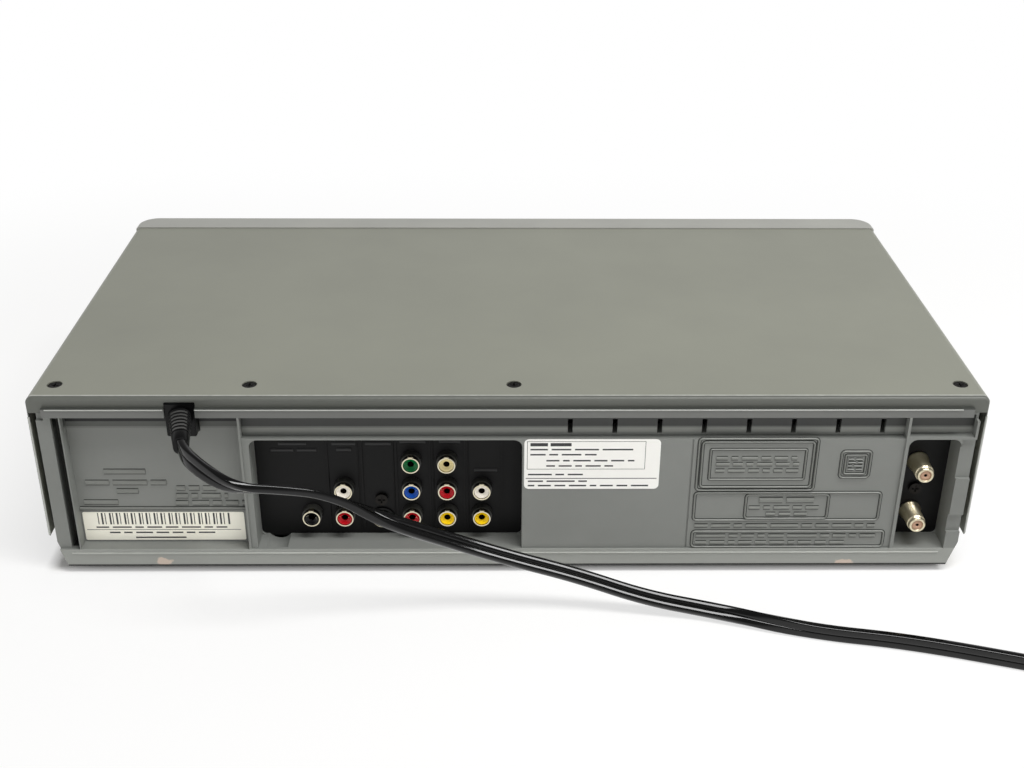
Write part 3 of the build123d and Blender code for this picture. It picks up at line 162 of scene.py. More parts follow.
outside = add(tree, "ShaderNodeVectorMath", {0: beyond.outputs[0], 1: (0.0, 0.0, 0.0)}, operation="MAXIMUM")
distance = add(tree, "ShaderNodeVectorMath", {0: outside.outputs[0]}, operation="LENGTH")
near = add(
    tree,
    "ShaderNodeMapRange",
    {"Value": distance.outputs["Value"], "From Min": 0.0, "From Max": near_reach, "To Max": near_share},
)
far = add(
    tree,
    "ShaderNodeMapRange",
    {"Value": distance.outputs["Value"], "From Min": far_start, "From Max": far_end, "To Max": far_share},
    interpolation_type="SMOOTHSTEP",
)
whiter = add(tree, "ShaderNodeMath", {0: near.outputs[0], 1: far.outputs[0]}, operation="ADD")
rays = add(tree, "ShaderNodeLightPath").outputs
seen = rays["Is Camera Ray"]
for ray in ("Is Glossy Ray", "Is Transmission Ray"):
    seen = add(tree, "ShaderNodeMath", {0: seen, 1: rays[ray]}, operation="MAXIMUM").outputs[0]
share = add(tree, "ShaderNodeMath", {0: whiter.outputs[0], 1: seen}, operation="MULTIPLY")
paper = add(tree, "ShaderNodeBsdfDiffuse", {"Color": paint("#FBFAF8")})
white = add(tree, "ShaderNodeEmission", {"Color": (1, 1, 1, 1), "Strength": 1.0})
mixed = add(tree, "ShaderNodeMixShader", {0: share.outputs[0], 1: paper.outputs[0], 2: white.outputs[0]})
add(tree, "ShaderNodeOutputMaterial", {"Surface": mixed.outputs[0]})
floor_mesh.materials.append(floor_paper)
floor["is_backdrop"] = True

world = bpy.data.worlds.new("studio")
bpy.context.scene.world = world
world.use_nodes = True
tree = world.node_tree
tree.nodes.clear()
sky_place = add(tree, "ShaderNodeTexCoord")
sky_axes = add(tree, "ShaderNodeSeparateXYZ", {0: sky_place.outputs["Generated"]})
height = add(
    tree,
    "ShaderNodeMapRange",
    {
        "Value": sky_axes.outputs["Z"],
        "From Min": horizon,
        "From Max": zenith,
        "To Min": 1.0,
        "To Max": zenith_strength,
    },
)
sky = add(tree, "ShaderNodeBackground", {"Color": (1, 1, 1, 1), "Strength": height.outputs[0]})
add(tree, "ShaderNodeOutputWorld", {"Surface": sky.outputs[0]})


def soft_light(name, place, target, size, power):
    """A rectangular lamp that faces a point."""
    lamp = bpy.data.lights.new(name, "AREA")
    lamp.shape = "RECTANGLE"
    lamp.size, lamp.size_y = size
    lamp.energy = power
    facing = (Vector(target) - Vector(place)).to_track_quat("-Z", "Y").to_matrix().to_4x4()
    link_object(name, lamp).matrix_world = Matrix.Translation(place) @ facing


soft_light("soft_box", place=(-0.55, 0.45, 1.45), target=(-0.55, 0.12, 0.0), size=(1.3, 0.4), power=23.5)
bpy.context.scene.view_settings.view_transform = "Standard"
print("floor, sky and soft box set")

# %% [markdown]
# The mains cord is a flat twin: two insulated wires side by side, joined by a thin web. Its route is the
# CAD's, point for point, moved by a few millimetres to the line that the photograph shows. A curve object
# could carry a round cord by its bevel, but not a flat one that turns on its way, so here the spline gives
# only the line. It hangs from the boot, lies down on the floor and ends in a coil, whose points come from a
# rule: in on the floor, up a layer, and out again on top.

# %% Cord route
cord_width = 7.2
cord_thick = 3.8
boot_foot = Vector((148.5, 115.0, 84.0))
boot_lean = math.radians(12.5)
boot_along = Vector((-math.sin(boot_lean), math.cos(boot_lean), 0.0))
cord_start_along, cord_lead_along = 22.0, 30.9
cord_start = boot_foot + boot_along * cord_start_along
route = [
    cord_start,
    boot_foot + boot_along * cord_lead_along,
    Vector((129.2, 159.3, 82.0)),
    Vector((116.8, 165.3, 78.2)),
    Vector((98.6, 162.1, 75.2)),
    Vector((79.3, 155.3, 68.6)),
    Vector((54.5, 151.4, 52.6)),
    Vector((28.6, 147.0, 40.0)),
    Vector((1.5, 144.5, 28.4)),
    Vector((-30.0, 143.8, 18.2)),
    Vector((-62.2, 147.3, 7.7)),
    Vector((-93.5, 151.8, 3.8)),
    Vector((-135.0, 167.4, 3.8)),
    Vector((-176.6, 174.5, 3.8)),
]
coil_centre = Vector((-294.0, 164.0, 3.8))
coil_start = math.radians(69.0)
coil_outer = 46.0
coil_pitch = 7.8
coil_turns = 2
coil_rise = 7.9
coil_lead = 48.0
plug_rise = 10.9
coil_last = 8 * coil_turns + 1
points_per_quarter = 4
short_step = 0.02  # a share of a quarter turn, to measure a direction on


def coil_point(quarter):
    """A point of the coil, counted in quarter turns: in on the floor, up, out on top, then up to the plug."""
    first = 4 * coil_turns
    inner = coil_outer - coil_pitch * coil_turns
    height = 0.0
    if quarter <= first:
        radius = coil_outer - coil_pitch * quarter / 4
    elif quarter <= first + 2:
        part = (quarter - first) / 2
        radius = inner - coil_pitch / 2 * part * (1 - part)
        height = coil_rise * part * part * (3 - 2 * part)
    else:
        part = max(0.0, (quarter - coil_last + 3) / 3)
        radius = inner + coil_pitch * (quarter - first - 2) / 4
        height = coil_rise + plug_rise * part * part * (3 - 2 * part)
    angle = coil_start + quarter * math.pi / 2
    return coil_centre + Vector((radius * math.cos(angle), radius * math.sin(angle), height))


coil_run = (coil_point(short_step) - coil_point(0.0)).normalized()
route += [coil_point(0.0) - coil_run * coil_lead, coil_point(0.0)]
stretch = 1 / math.cos(math.pi / 4 / points_per_quarter)
for step in range(1, coil_last * points_per_quarter + 1):
    spot = coil_point(step / points_per_quarter)
    middle = Vector((coil_centre.x, coil_centre.y, spot.z))
    route.append(middle + (spot - middle) * (stretch if step < coil_last * points_per_quarter else 1.0))
plug_along = (coil_point(coil_last) - coil_point(coil_last - short_step)).normalized()
cord_end = coil_point(coil_last) + plug_along * cord_width
route.append(cord_end)

line = bpy.data.curves.new("cord_line", "CURVE")
line.dimensions = "3D"
spline = line.splines.new("NURBS")
spline.points.add(len(route) - 1)
for point, spot in zip(spline.points, route):
    point.co = (*(spot * MM), 1.0)
spline.order_u = 3
spline.use_endpoint_u = True
spline.resolution_u = 8
line_object = link_object("cord_line", line)
bpy.context.view_layer.update()
line_mesh = bpy.data.meshes.new_from_object(line_object.evaluated_get(bpy.context.evaluated_depsgraph_get()))
cord_path = [v.co.copy() for v in line_mesh.vertices]
bpy.data.objects.remove(line_object)

# %% [markdown]
# A figure-of-eight outline is carried along the line. A flat cord bends easily only across its thin side, so
# it lies on edge where it curves on the floor, and turns about its own line on the way down. That turn
# decides which flat mirrors the lamp, so it is given as stops along X, and eased from each to the next.

# %% Cord tube
twist_stops = [  # a place along X and the turn there, in degrees
    (143.0, 0),
    (134.0, -28),
    (106.0, 56),
    (76.0, 62),
    (44.0, 129),
    (-40.0, 123),
    (-92.0, 122),
    (-140.0, 180),
]
flatness = 0.55  # 1 is round wires; less flattens their sides, as the rolls of the extruder do


def twin_outline(sides=15):
    """The outline of two wires side by side, as points across the width and the thickness."""
    wire = cord_thick / 2
    apart = (cord_width - cord_thick) / 2
    web = math.acos((apart / wire) ** (1 / flatness))
    points = []
    for side in (1, -1):
        for step in range(sides):
            angle = (web - math.pi) + (2 * math.pi - 2 * web) * step / (sides - 1)
            a, b = (math.copysign(abs(v) ** flatness, v) for v in (math.cos(angle), math.sin(angle)))
            points.append((side * (apart + wire * a), side * wire * b))
    return points


def cord_turn(x):
    """How far the cord has turned about its own line at a place along X."""
    turn = 0.0
    for (x0, turn0), (x1, turn1) in zip(twist_stops, twist_stops[1:]):
        part = min(1.0, max(0.0, (x0 - x / MM) / (x0 - x1)))
        turn += (turn1 - turn0) * part * part * (3 - 2 * part)
    return math.radians(turn)


def mesh_from(name, build, smooth=True):
    """The mesh of what was built, with its faces turned outwards."""
    bmesh.ops.recalc_face_normals(build, faces=build.faces)
    mesh = bpy.data.meshes.new(name)
    build.to_mesh(mesh)
    build.free()
    if smooth:
        mesh.shade_smooth()
    return mesh


def bridge(build, low, high):
    """Faces between two rings of as many points."""
    for k in range(len(low)):
        n = (k + 1) % len(low)
        build.faces.new((low[k], low[n], high[n], high[k]))


def loft_rings(name, rings):
    """A closed skin over rings of points, all with the same count."""
    build = bmesh.new()
    rows = [[build.verts.new(spot) for spot in ring] for ring in rings]
    for low, high in zip(rows, rows[1:]):
        bridge(build, low, high)
    build.faces.new(list(reversed(rows[0])))
    build.faces.new(rows[-1])
    return link_object(name, mesh_from(name, build))


def cord_ring(path, i, outline):
    """The outline stood across the cord's path at one of its points, with its turn there."""
    along = (path[min(i + 1, len(path) - 1)] - path[max(i - 1, 0)]).normalized()
    wide = (Vector((0, 0, 1)) - along * along.z).normalized()
    thin = along.cross(wide)
    turn = cord_turn(path[i].x)
    wide, thin = wide * math.cos(turn) + thin * math.sin(turn), thin * math.cos(turn) - wide * math.sin(turn)
    return [path[i] + wide * (a * MM) + thin * (b * MM) for a, b in outline]


cord_outline = twin_outline()
cord_rings = [cord_ring(cord_path, i, cord_outline) for i in range(len(cord_path))]
mains_flex = loft_rings("mains_flex", cord_rings)
print("cord tube", len(mains_flex.data.polygons), "faces")

# %% [markdown]
# Where the cord leaves the case, a soft boot keeps it from kinking. Its flange drops into a notch of the
# rear panel, and its nose is cut with rings so that it bends, and narrows until it hugs the flat cord. The
# nose is a skin over rounded outlines that step in and out at each ring.

# %% Cord boot
boot_length = 26.0
boot_across = 10.4
boot_narrows, boot_lowers = 3.6, 1.6
boot_corner = 0.42  # a share of the nose's width
boot_rings = 7
ring_start = 1.2
ring_pitch = 2.9
ring_depth = 1.3
groove_long, groove_slope = 1.2, 0.15
boot_sink = 0.5  # the nose starts this far inside the block
nose_end = ((0.8, 0.0), (0.2, 0.5), (0.0, 1.2))  # a place before the tip, and how much is shaved off there
boot_sharp = math.radians(35)
flange_round = 0.4
flange_boxes = (  # the block in the notch, the flange behind the panel, and the neck between them
    ((141.8, 104.0, 74.2), (155.2, 115.0, 91.0)),
    ((138.8, 99.5, 74.2), (158.2, 101.7, 88.0)),
    ((141.8, 101.0, 74.2), (155.2, 104.5, 91.0)),
)
boot_side = Vector((math.cos(boot_lean), math.sin(boot_lean), 0.0))


def rounded_ring(wide, tall, corner, steps=5):
    """A rounded rectangle about the axis, as pairs of side and height."""
    points = []
    for quarter, (sx, sy) in enumerate(((1, 1), (-1, 1), (-1, -1), (1, -1))):
        for step in range(steps):
            angle = math.pi / 2 * (quarter + step / (steps - 1))
            x = sx * (wide / 2 - corner) + corner * math.cos(angle)
            y = sy * (tall / 2 - corner) + corner * math.sin(angle)
            points.append((x, y))
    return points


def boot_ring(along, shrink):
    """An outline of the boot's nose at a place on its axis, which narrows towards the cord."""
    part = along / boot_length
    wide = boot_across - boot_narrows * part - shrink
    tall = boot_across - boot_lowers * part - shrink
    outline = rounded_ring(wide, tall, boot_corner * wide)
    return [(boot_foot + boot_along * along + boot_side * a + Vector((0, 0, b))) * MM for a, b in outline]


rings = [boot_ring(-boot_sink, 0.0)]
for count in range(boot_rings):
    start = ring_start + count * ring_pitch
    for edge, outer, inner in ((0.0, 0.0, ring_depth), (groove_long, ring_depth, 0.0)):
        rings.append(boot_ring(start + edge - groove_slope, outer))
        rings.append(boot_ring(start + edge + groove_slope, inner))
rings += [boot_ring(boot_length - back, shrink) for back, shrink in nose_end]
cord_boot = loft_rings("cord_boot", rings)
build = bmesh.new()
build.from_mesh(cord_boot.data)
for low, high in flange_boxes:
    cube = bmesh.ops.create_cube(build, size=1.0)["verts"]
    size = Vector(high) - Vector(low)
    bmesh.ops.scale(build, vec=size * MM, verts=cube)
    bmesh.ops.translate(build, vec=(Vector(low) + size / 2) * MM, verts=cube)
    edges = list({edge for vertex in cube for edge in vertex.link_edges})
    bmesh.ops.bevel(build, geom=edges, offset=flange_round * MM, segments=2, affect="EDGES")
build.to_mesh(cord_boot.data)
build.free()
cord_boot.data.set_sharp_from_angle(angle=boot_sharp)
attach(cord_boot, "case")
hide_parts("strain_relief")
print("boot", len(cord_boot.data.polygons), "faces")

# %% [markdown]
# The plug is moulded onto the cord's end, so it has a ribbed neck, a grip that narrows towards the blades,
# and two flat blades. The outline of the body is a rounded rectangle that changes along the axis.

# %% Plug
blade_pitch = 12.7
blade_thick = 1.5
blade_tall = 6.4
blade_round = 0.3
plug_side = Vector((0, 0, 1)).cross(plug_along).normalized()
plug_up = plug_along.cross(plug_side)


def plug_point(side, height, along):
    """A point of the plug in its own axes, in metres of the frame."""
    return (cord_end + plug_side * side + plug_up * height + plug_along * along) * MM


plug_sections = [  # place along the axis, width, height and corner radius
    (0.0, 8.6, 6.4, 3.0),
    (1.2, 9.2, 7.0, 3.2),
    (1.8, 9.2, 7.0, 3.2),
    (2.2, 8.4, 6.2, 3.0),
    (3.0, 8.4, 6.2, 3.0),
    (3.4, 9.8, 7.6, 3.4),
    (4.4, 9.8, 7.6, 3.4),
    (4.8, 8.8, 6.6, 3.2),
    (5.6, 8.8, 6.6, 3.2),
    (6.0, 10.6, 8.2, 3.6),
    (7.4, 12.0, 9.4, 3.8),
    (10.0, 18.6, 12.6, 3.6),
    (12.0, 19.6, 13.6, 3.5),
    (16.0, 19.2, 12.6, 3.5),
    (22.0, 18.6, 11.6, 3.5),
    (28.0, 19.4, 12.8, 3.5),
    (33.0, 20.0, 14.0, 3.5),
    (37.0, 20.0, 14.0, 3.5),
    (37.8, 19.4, 13.4, 3.2),
    (38.0, 18.4, 12.4, 2.8),
]
plug_rings = []
for along, wide, tall, corner in plug_sections:
    plug_rings.append([plug_point(a, b, along) for a, b in rounded_ring(wide, tall, corner)])
plug_body = loft_rings("plug_body", plug_rings)
blade_sections = [(37.0, 1.0), (50.5, 1.0), (52.6, 0.9), (54.0, 0.62)]  # place and share of the height
plug_blades = []
for side in (-1, 1):
    rings = []
    for along, share in blade_sections:
        outline = rounded_ring(blade_thick, blade_tall * share, blade_round, 3)
        rings.append([plug_point(side * blade_pitch / 2 + a, b, along) for a, b in outline])
    plug_blades.append(loft_rings(f"plug_blade_{'left' if side < 0 else 'right'}", rings))
print("plug", len(plug_body.data.polygons), "faces and two blades")

# %% [markdown]
# A short strap holds the coil, as on a new appliance. It goes round the turns where they lie closest. Four
# rings of points, two outside and two inside, are bridged into a closed band. The cord, its plug and the
# strap are then attached to the case, in place of the CAD's cord, coil and plug.

# %% Tie
tie_angle = math.radians(205.0)
tie_out = Vector((math.cos(tie_angle), math.sin(tie_angle), 0))
tie_round = Vector((-math.sin(tie_angle), math.cos(tie_angle), 0))
tie_inner = 24.6
tie_outer = 46.2
tie_low = 0.1
tie_high = 16.6
tie_wide = 9.0
tie_thick = 0.8
tie_corner = 3.0
middle = coil_centre + tie_out * (tie_inner + tie_outer) / 2
middle.z = (tie_low + tie_high) / 2
build = bmesh.new()
bands = []
for grow in (0.0, -tie_thick):
    ring = rounded_ring(tie_outer - tie_inner + 2 * grow, tie_high - tie_low + 2 * grow, tie_corner + grow)
    for end in (-tie_wide / 2, tie_wide / 2):
        spots = [middle + tie_out * a + Vector((0, 0, b)) + tie_round * end for a, b in ring]
        bands.append([build.verts.new(spot * MM) for spot in spots])
for first, second in ((0, 1), (1, 3), (3, 2), (2, 0)):
    bridge(build, bands[first], bands[second])
cord_tie = link_object("cord_tie", mesh_from("cord_tie", build))

for piece in (mains_flex, plug_body, cord_tie, *plug_blades):
    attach(piece, "case")
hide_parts("mains_cord", "mains_coil")
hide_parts("mains_plug")

# %% [markdown]
# Most finishes here are a coloured skin with a grain: moulded plastic takes the spark-eroded texture of its
# tool, paint dries with a slight orange peel, and plated metal shows faint clouds. One recipe makes them
# all. A slow noise shifts the colour and the gloss, and a fine one raises the grain, each at its real size.

# %% Finish recipe
gloss_swing = 0.15  # the clouds make the finish rougher or smoother by this share


def start_finish(name, colour, other, roughness, metallic=0.0, patch=40.0, grain=0.6, depth=0.02, shine=0.5):
    """A material from two close colours, a patch size and a grain size and depth in millimetres."""
    material = bpy.data.materials.new(name)
    material.use_nodes = True
    tree = material.node_tree
    tree.nodes.clear()
    place = add(tree, "ShaderNodeTexCoord").outputs["Object"]
    clouds = add(
        tree,
        "ShaderNodeTexNoise",
        {"Vector": place, "Scale": 1 / (patch * MM), "Detail": 4.0, "Roughness": 0.6},
    )
    spread = add(tree, "ShaderNodeMapRange", {"Value": clouds.outputs[0], "From Min": 0.3, "From Max": 0.7})
    tint = add(
        tree,
        "ShaderNodeMix",
        {"Factor": spread.outputs[0], 6: paint(colour), 7: paint(other)},
        data_type="RGBA",
    )
    smooth, rough = roughness * (1 - gloss_swing), min(1.0, roughness * (1 + gloss_swing))
    gloss = add(tree, "ShaderNodeMapRange", {"Value": clouds.outputs[0], "To Min": smooth, "To Max": rough})
    pits = add(tree, "ShaderNodeTexNoise", {"Vector": place, "Scale": 1 / (grain * MM), "Detail": 2.0})
    bump = add(tree, "ShaderNodeBump", {"Height": pits.outputs[0], "Strength": 0.6, "Distance": depth * MM})
    skin = add(
        tree,
        "ShaderNodeBsdfPrincipled",
        {
            "Base Color": tint.outputs[2],
            "Roughness": gloss.outputs[0],
            "Metallic": metallic,
            "Specular IOR Level": shine,
            "Normal": bump.outputs[0],
        },
    )
    add(tree, "ShaderNodeOutputMaterial", {"Surface": skin.outputs[0]})
    return material


print("finish recipe ready")

# %% [markdown]
# The table below names each finish for what it is and how its surface was made. The grain of the mouldings
# is drawn about twice its real size, because half a millimetre is less than a pixel here.

# %% Finishes of the CAD nodes
finishes = {
    # Sheet steel, sprayed a warm grey and baked: even, satin, with a faint orange peel.
    "cover_paint": start_finish(
        "sprayed_steel_grey", "#88897D", "#838479", 0.42, patch=90.0, grain=1.6, depth=0.02
    ),
    # ABS from a spark-eroded tool: matt grey that hardly shines.
    "grey_moulding": start_finish(
        "moulded_abs_grey", "#80827E", "#7A7C78", 0.55, patch=60.0, grain=1.0, depth=0.05
    ),
    # ABS sprayed with a silver-grey lacquer: smoother than the cover, with a soft sheen.
    "silver_front": start_finish(
        "lacquered_abs_silver", "#A1A19A", "#999993", 0.34, patch=50.0, grain=1.2, depth=0.01
    ),
    # Moulded rubber: dull and nearly black.
    "rubber_foot": start_finish(
        "moulded_rubber_black", "#1E1E1E", "#262626", 0.85, patch=8.0, grain=0.8, depth=0.06
    ),
    # Steel screws, blackened: dark metal with a brown cast and smeared gloss.
    "screw_steel": start_finish(
        "blackened_steel", "#232221", "#2F2D2B", 0.42, 1.0, patch=2.0, grain=0.5, depth=0.02
    ),
    # ABS in black: the inserts and the disc parts, a soft dark sheen.
    "black_moulding": start_finish(
        "moulded_abs_black", "#0B0B0B", "#0F0F0F", 0.5, patch=20.0, grain=0.9, depth=0.03, shine=0.2
    ),
    # Nickel plate over brass: bright, a little warm.
    "nickel": start_finish(
        "nickel_plate_warm", "#E6DFC8", "#D9D0B4", 0.2, 1.0, patch=3.0, grain=0.4, depth=0.004
    ),
    # PVC over the wires: black with a wet shine.
    "cord_rubber": start_finish(
        "extruded_pvc_black", "#050505", "#080808", 0.08, patch=9.0, grain=5.0, depth=0.004, shine=0.42
    ),
    # Acrylic, piano black: a mirror over black.
    "black_gloss": start_finish(
        "polished_acrylic_black", "#08080A", "#0B0B0D", 0.09, patch=60.0, grain=6.0, depth=0.002
    ),
    # Smoked acrylic over the display: darker than the room, with a green-blue cast.
    "smoked_window": start_finish(
        "smoked_acrylic", "#0A0F12", "#0D1316", 0.07, patch=60.0, grain=6.0, depth=0.002
    ),
    # Glass-cloth laminate under green resist, with the traces showing through.
    "board": start_finish(
        "resist_coated_laminate", "#1F5A33", "#2C6E40", 0.38, patch=3.5, grain=0.7, depth=0.05
    ),
    # Copper winding under varnished paper tape.
    "winding": start_finish("varnished_tape", "#C9A24A", "#B98F3C", 0.5, patch=6.0, grain=1.2, depth=0.05),
    # Tinned sheet: bright, with grey clouds.
    "tin_plate": start_finish(
        "tinned_sheet", "#C9CBCB", "#B5B8B9", 0.3, 1.0, patch=7.0, grain=0.8, depth=0.006
    ),
    # Galvanised sheet: dull, with the spangle of the zinc.
    "zinc_steel": start_finish(
        "galvanised_sheet", "#B4B7B8", "#9EA2A4", 0.42, 1.0, patch=5.0, grain=1.0, depth=0.01
    ),
    # Turned aluminium: fine and bright.
    "drum_alloy": start_finish(
        "turned_aluminium", "#D6D7D8", "#C8CACC", 0.24, 1.0, patch=4.0, grain=0.5, depth=0.004
    ),
    # Acetal gears and reels: milky white, waxy.
    "white_acetal": start_finish(
        "moulded_acetal_white", "#E4E2DA", "#DCD9D0", 0.4, patch=12.0, grain=1.2, depth=0.02
    ),
    # Ground rubber of the pinch roller: dead matt.
    "roller_rubber": start_finish(
        "ground_rubber", "#18181A", "#222224", 0.8, patch=3.0, grain=0.6, depth=0.03
    ),
}
finishes["phono_core"] = finishes["white_acetal"]
node_slots = {row["node"]: row["material_slot"] for row in frame["record"]["subparts"]}
for name, slot_name in node_slots.items():
    mesh = frame["nodes"][name].data
    mesh.materials.clear()
    mesh.materials.append(finishes[slot_name])
# PVC moulded over the cord: black, duller than the extruded cord.
finishes["boot_pvc"] = start_finish(
    "moulded_pvc_black", "#070707", "#090909", 0.3, patch=6.0, grain=1.2, depth=0.02, shine=0.2
)
# The same PVC, lighter, on the upper side of the crests of the boot's rings: a painted highlight.
finishes["boot_crest"] = start_finish(
    "moulded_pvc_painted_highlight", "#3E3E3C", "#4A4A48", 0.4, patch=4.0, grain=1.2, depth=0.02
)
for piece in (mains_flex, plug_body, cord_tie):
    piece.data.materials.append(finishes["cord_rubber"])
cord_boot.data.materials.append(finishes["boot_pvc"])
cord_boot.data.materials.append(finishes["boot_crest"])
crest_from, crest_upright = 2.0, 0.65  # past the block, and only the upper side of a crest
# Faces that look up from a crest of the nose take the painted highlight.
for face in cord_boot.data.polygons:
    along = (face.center / MM - boot_foot).dot(boot_along)
    on_crest = (along - ring_start) % ring_pitch > groove_long + groove_slope
    on_nose = crest_from < along < ring_start + boot_rings * ring_pitch
    face.material_index = int(on_crest and on_nose and face.normal.z > crest_upright)
for blade in plug_blades:
    blade.data.materials.append(finishes["nickel"])
print(len(finishes), "finishes on", len(node_slots), "nodes")

# %% [markdown]
# This player has been used, and some of the light on its rear is painted into its colours. A pale line along
# the bend at the rear of the cover is a painted highlight, partly paint rubbed thin, and the lip below it is
# painted darker as shade. The foot rail of the rear panel is painted pale, a painted light, with two bare
# scuffs. Painted shadow darkens the plastic under the ledge, in the band of vents and at the top of the
# recess. An image could paint all this, but a mask on the place in the frame needs none: a colour lies
# between two heights, or within a distance of a spot.

# %% Wear, scuffs and painted light and shade of the cover and the rear panel


def stain_or_painted_light(material, mask, colour):
    """A colour laid over a finish where a mask is 1: a real stain, or painted light or shade."""
    tree = material.node_tree
    skin = next(node for node in tree.nodes if node.type == "BSDF_PRINCIPLED")
    under = skin.inputs["Base Color"].links[0].from_socket
    over = add(tree, "ShaderNodeMix", {"Factor": mask, 6: under, 7: paint(colour)}, data_type="RGBA")
    tree.links.new(over.outputs[2], skin.inputs["Base Color"])


def near_spot(tree, spot, reach, full, none, ragged, patch=4.0):
    """A mask that is 1 within a stretched distance of a spot and fades beyond, with a ragged edge."""
    place = add(tree, "ShaderNodeTexCoord").outputs["Object"]
    away = add(tree, "ShaderNodeVectorMath", {0: place, 1: Vector(spot) * MM}, operation="SUBTRACT")
    inverse = [1 / (r * MM) if r else 0.0 for r in reach]
    shrunk = add(tree, "ShaderNodeVectorMath", {0: away.outputs[0], 1: inverse}, operation="MULTIPLY")
    far = add(tree, "ShaderNodeVectorMath", {0: shrunk.outputs[0]}, operation="LENGTH").outputs["Value"]
    clouds = add(tree, "ShaderNodeTexNoise", {"Vector": place, "Scale": 1 / (patch * MM), "Detail": 3.0})
    shaken = add(tree, "ShaderNodeMath", {0: clouds.outputs[0], 1: ragged, 2: far}, operation="MULTIPLY_ADD")
    return add(
        tree,
        "ShaderNodeMapRange",
        {"Value": shaken.outputs[0], "From Min": full, "From Max": none, "To Min": 1.0, "To Max": 0.0},
    ).outputs[0]


def between(tree, soft=0.2, **ranges):
    """A mask that is 1 between two places, in millimetres, on each axis that is named."""
    axes = add(tree, "ShaderNodeSeparateXYZ", {0: add(tree, "ShaderNodeTexCoord").outputs["Object"]}).outputs
    mask = None
    for axis, (low, high) in ranges.items():
        for start, end in ((low - soft, low + soft), (high + soft, high - soft)):
            limits = {"Value": axes[axis], "From Min": start * MM, "From Max": end * MM}
            ramp = add(tree, "ShaderNodeMapRange", limits)
            both = add(tree, "ShaderNodeMath", {0: mask or 1.0, 1: ramp.outputs[0]}, operation="MULTIPLY")
            mask = both.outputs[0]
    return mask


tree = finishes["cover_paint"].node_tree
# The lip, and the top just before the bend, are painted darker: painted shade.
stain_or_painted_light(finishes["cover_paint"], between(tree, Y=(111.6, 120.0), Z=(80.0, 95.0)), "#5F615B")
# A ragged pale line along the bend: a painted highlight, partly paint rubbed thin.
bend_highlight_mask = near_spot(tree, (0, 111.4, 93.5), (0, 1.0, 1.0), full=0.5, none=0.75, ragged=0.5)
stain_or_painted_light(finishes["cover_paint"], bend_highlight_mask, "#B4B5AE")
scuffed_and_shaded = finishes["grey_moulding"].copy()
scuffed_and_shaded.name = "moulded_abs_grey_scuffed"
tree = scuffed_and_shaded.node_tree
band, recess, rail, ledge = (110.0, 112.0), (108.6, 109.6), (115.6, 117.0), (113.0, 117.0)
ledge_foot = 84.5
for where, colour in (
    # The band of vents is painted pale at its foot, painted light against the shade of the corner, and dark
    # under the ledge, a painted shadow.
    ({"Y": band, "Z": (74.2, ledge_foot)}, "#8B8D88"),
    ({"Y": band, "Z": (76.6, ledge_foot)}, "#6A6C68"),
    ({"Y": band, "Z": (77.4, ledge_foot)}, "#3B3C3A"),
    # The recess is painted with the same shadow, up to a black painted shade in the gap under the ledge.
    ({"Y": recess, "Z": (75.4, ledge_foot)}, "#6E706C"),
    ({"Y": recess, "Z": (76.3, ledge_foot)}, "#525450"),
    ({"Y": recess, "Z": (78.9, ledge_foot)}, "#020202"),
    # A deep slot beside the recess, painted dark as shade; the face of the ledge, a little darker; the top of
    # the ledge at the lip, a painted shadow; and the foot rail, painted pale as painted light.
    ({"X": (203.2, 207.2), "Y": (80.0, 112.6), "Z": (8.0, 84.0)}, "#1B1C1A"),
    ({"Y": rail, "Z": (84.2, 88.3)}, "#6E6F6C"),
    ({"Y": ledge, "Z": (88.4, 90.0)}, "#3A3C38"),
    ({"Y": rail, "Z": (3.0, 13.4)}, "#949691"),
):
    stain_or_painted_light(scuffed_and_shaded, between(tree, **where), colour)
for spot, reach in (((164.0, 116.0, 6.2), (5.6, 2.0, 3.0)), ((-160.6, 116.0, 5.0), (6.2, 2.0, 2.6))):
    stain_or_painted_light(scuffed_and_shaded, near_spot(tree, spot, reach, full=1.25, none=1.4, ragged=1.2), "#C6B6A8")
# A near-black line at the foot of the rail: a painted shadow of the gap under the player.
stain_or_painted_light(scuffed_and_shaded, between(tree, Y=(112.0, 117.0), Z=(3.0, 4.8)), "#131313")
# ABS of the jack sleeves, moulded in a smoother tool: black, with a painted sheen that makes its colour dark
# grey.
sleeve_painted_sheen = start_finish(
    "moulded_abs_sleeve_painted_sheen", "#32322F", "#383834", 0.36, patch=6.0, grain=0.9, depth=0.02
)
# Nickel plate of the phono rings, dark with grime where the sleeve grips them: only the rim is bright.
ring_plate = finishes["nickel"].copy()
ring_plate.name = "nickel_plate_grimed"
stain_or_painted_light(ring_plate, between(ring_plate.node_tree, Y=(90.0, 107.2)), "#10100F")
for name, finish in (("rear_panel", scuffed_and_shaded), ("phono_sleeves", sleeve_painted_sheen), ("phono_rings", ring_plate)):
    frame["nodes"][name].data.materials.clear()
    frame["nodes"][name].data.materials.append(finish)
print("wear on", finishes["cover_paint"].name, "and", scuffed_and_shaded.name)

# %% [markdown]
# The rear panel carries moulded beads: frames, ridges, and rows of plain raised dashes. A bead is an outline
# carried along a line, so one node tree makes them all: lines in, rounded corners, an eight-sided outline
# swept along. Its flat top and sloping sides are those of a groove milled in the mould, and each catches the
# light its own way. The tree works on a flat sheet seen as the eye sees the panel, and the mesh is stood up
# on its panel afterwards.

# %% Bead tree


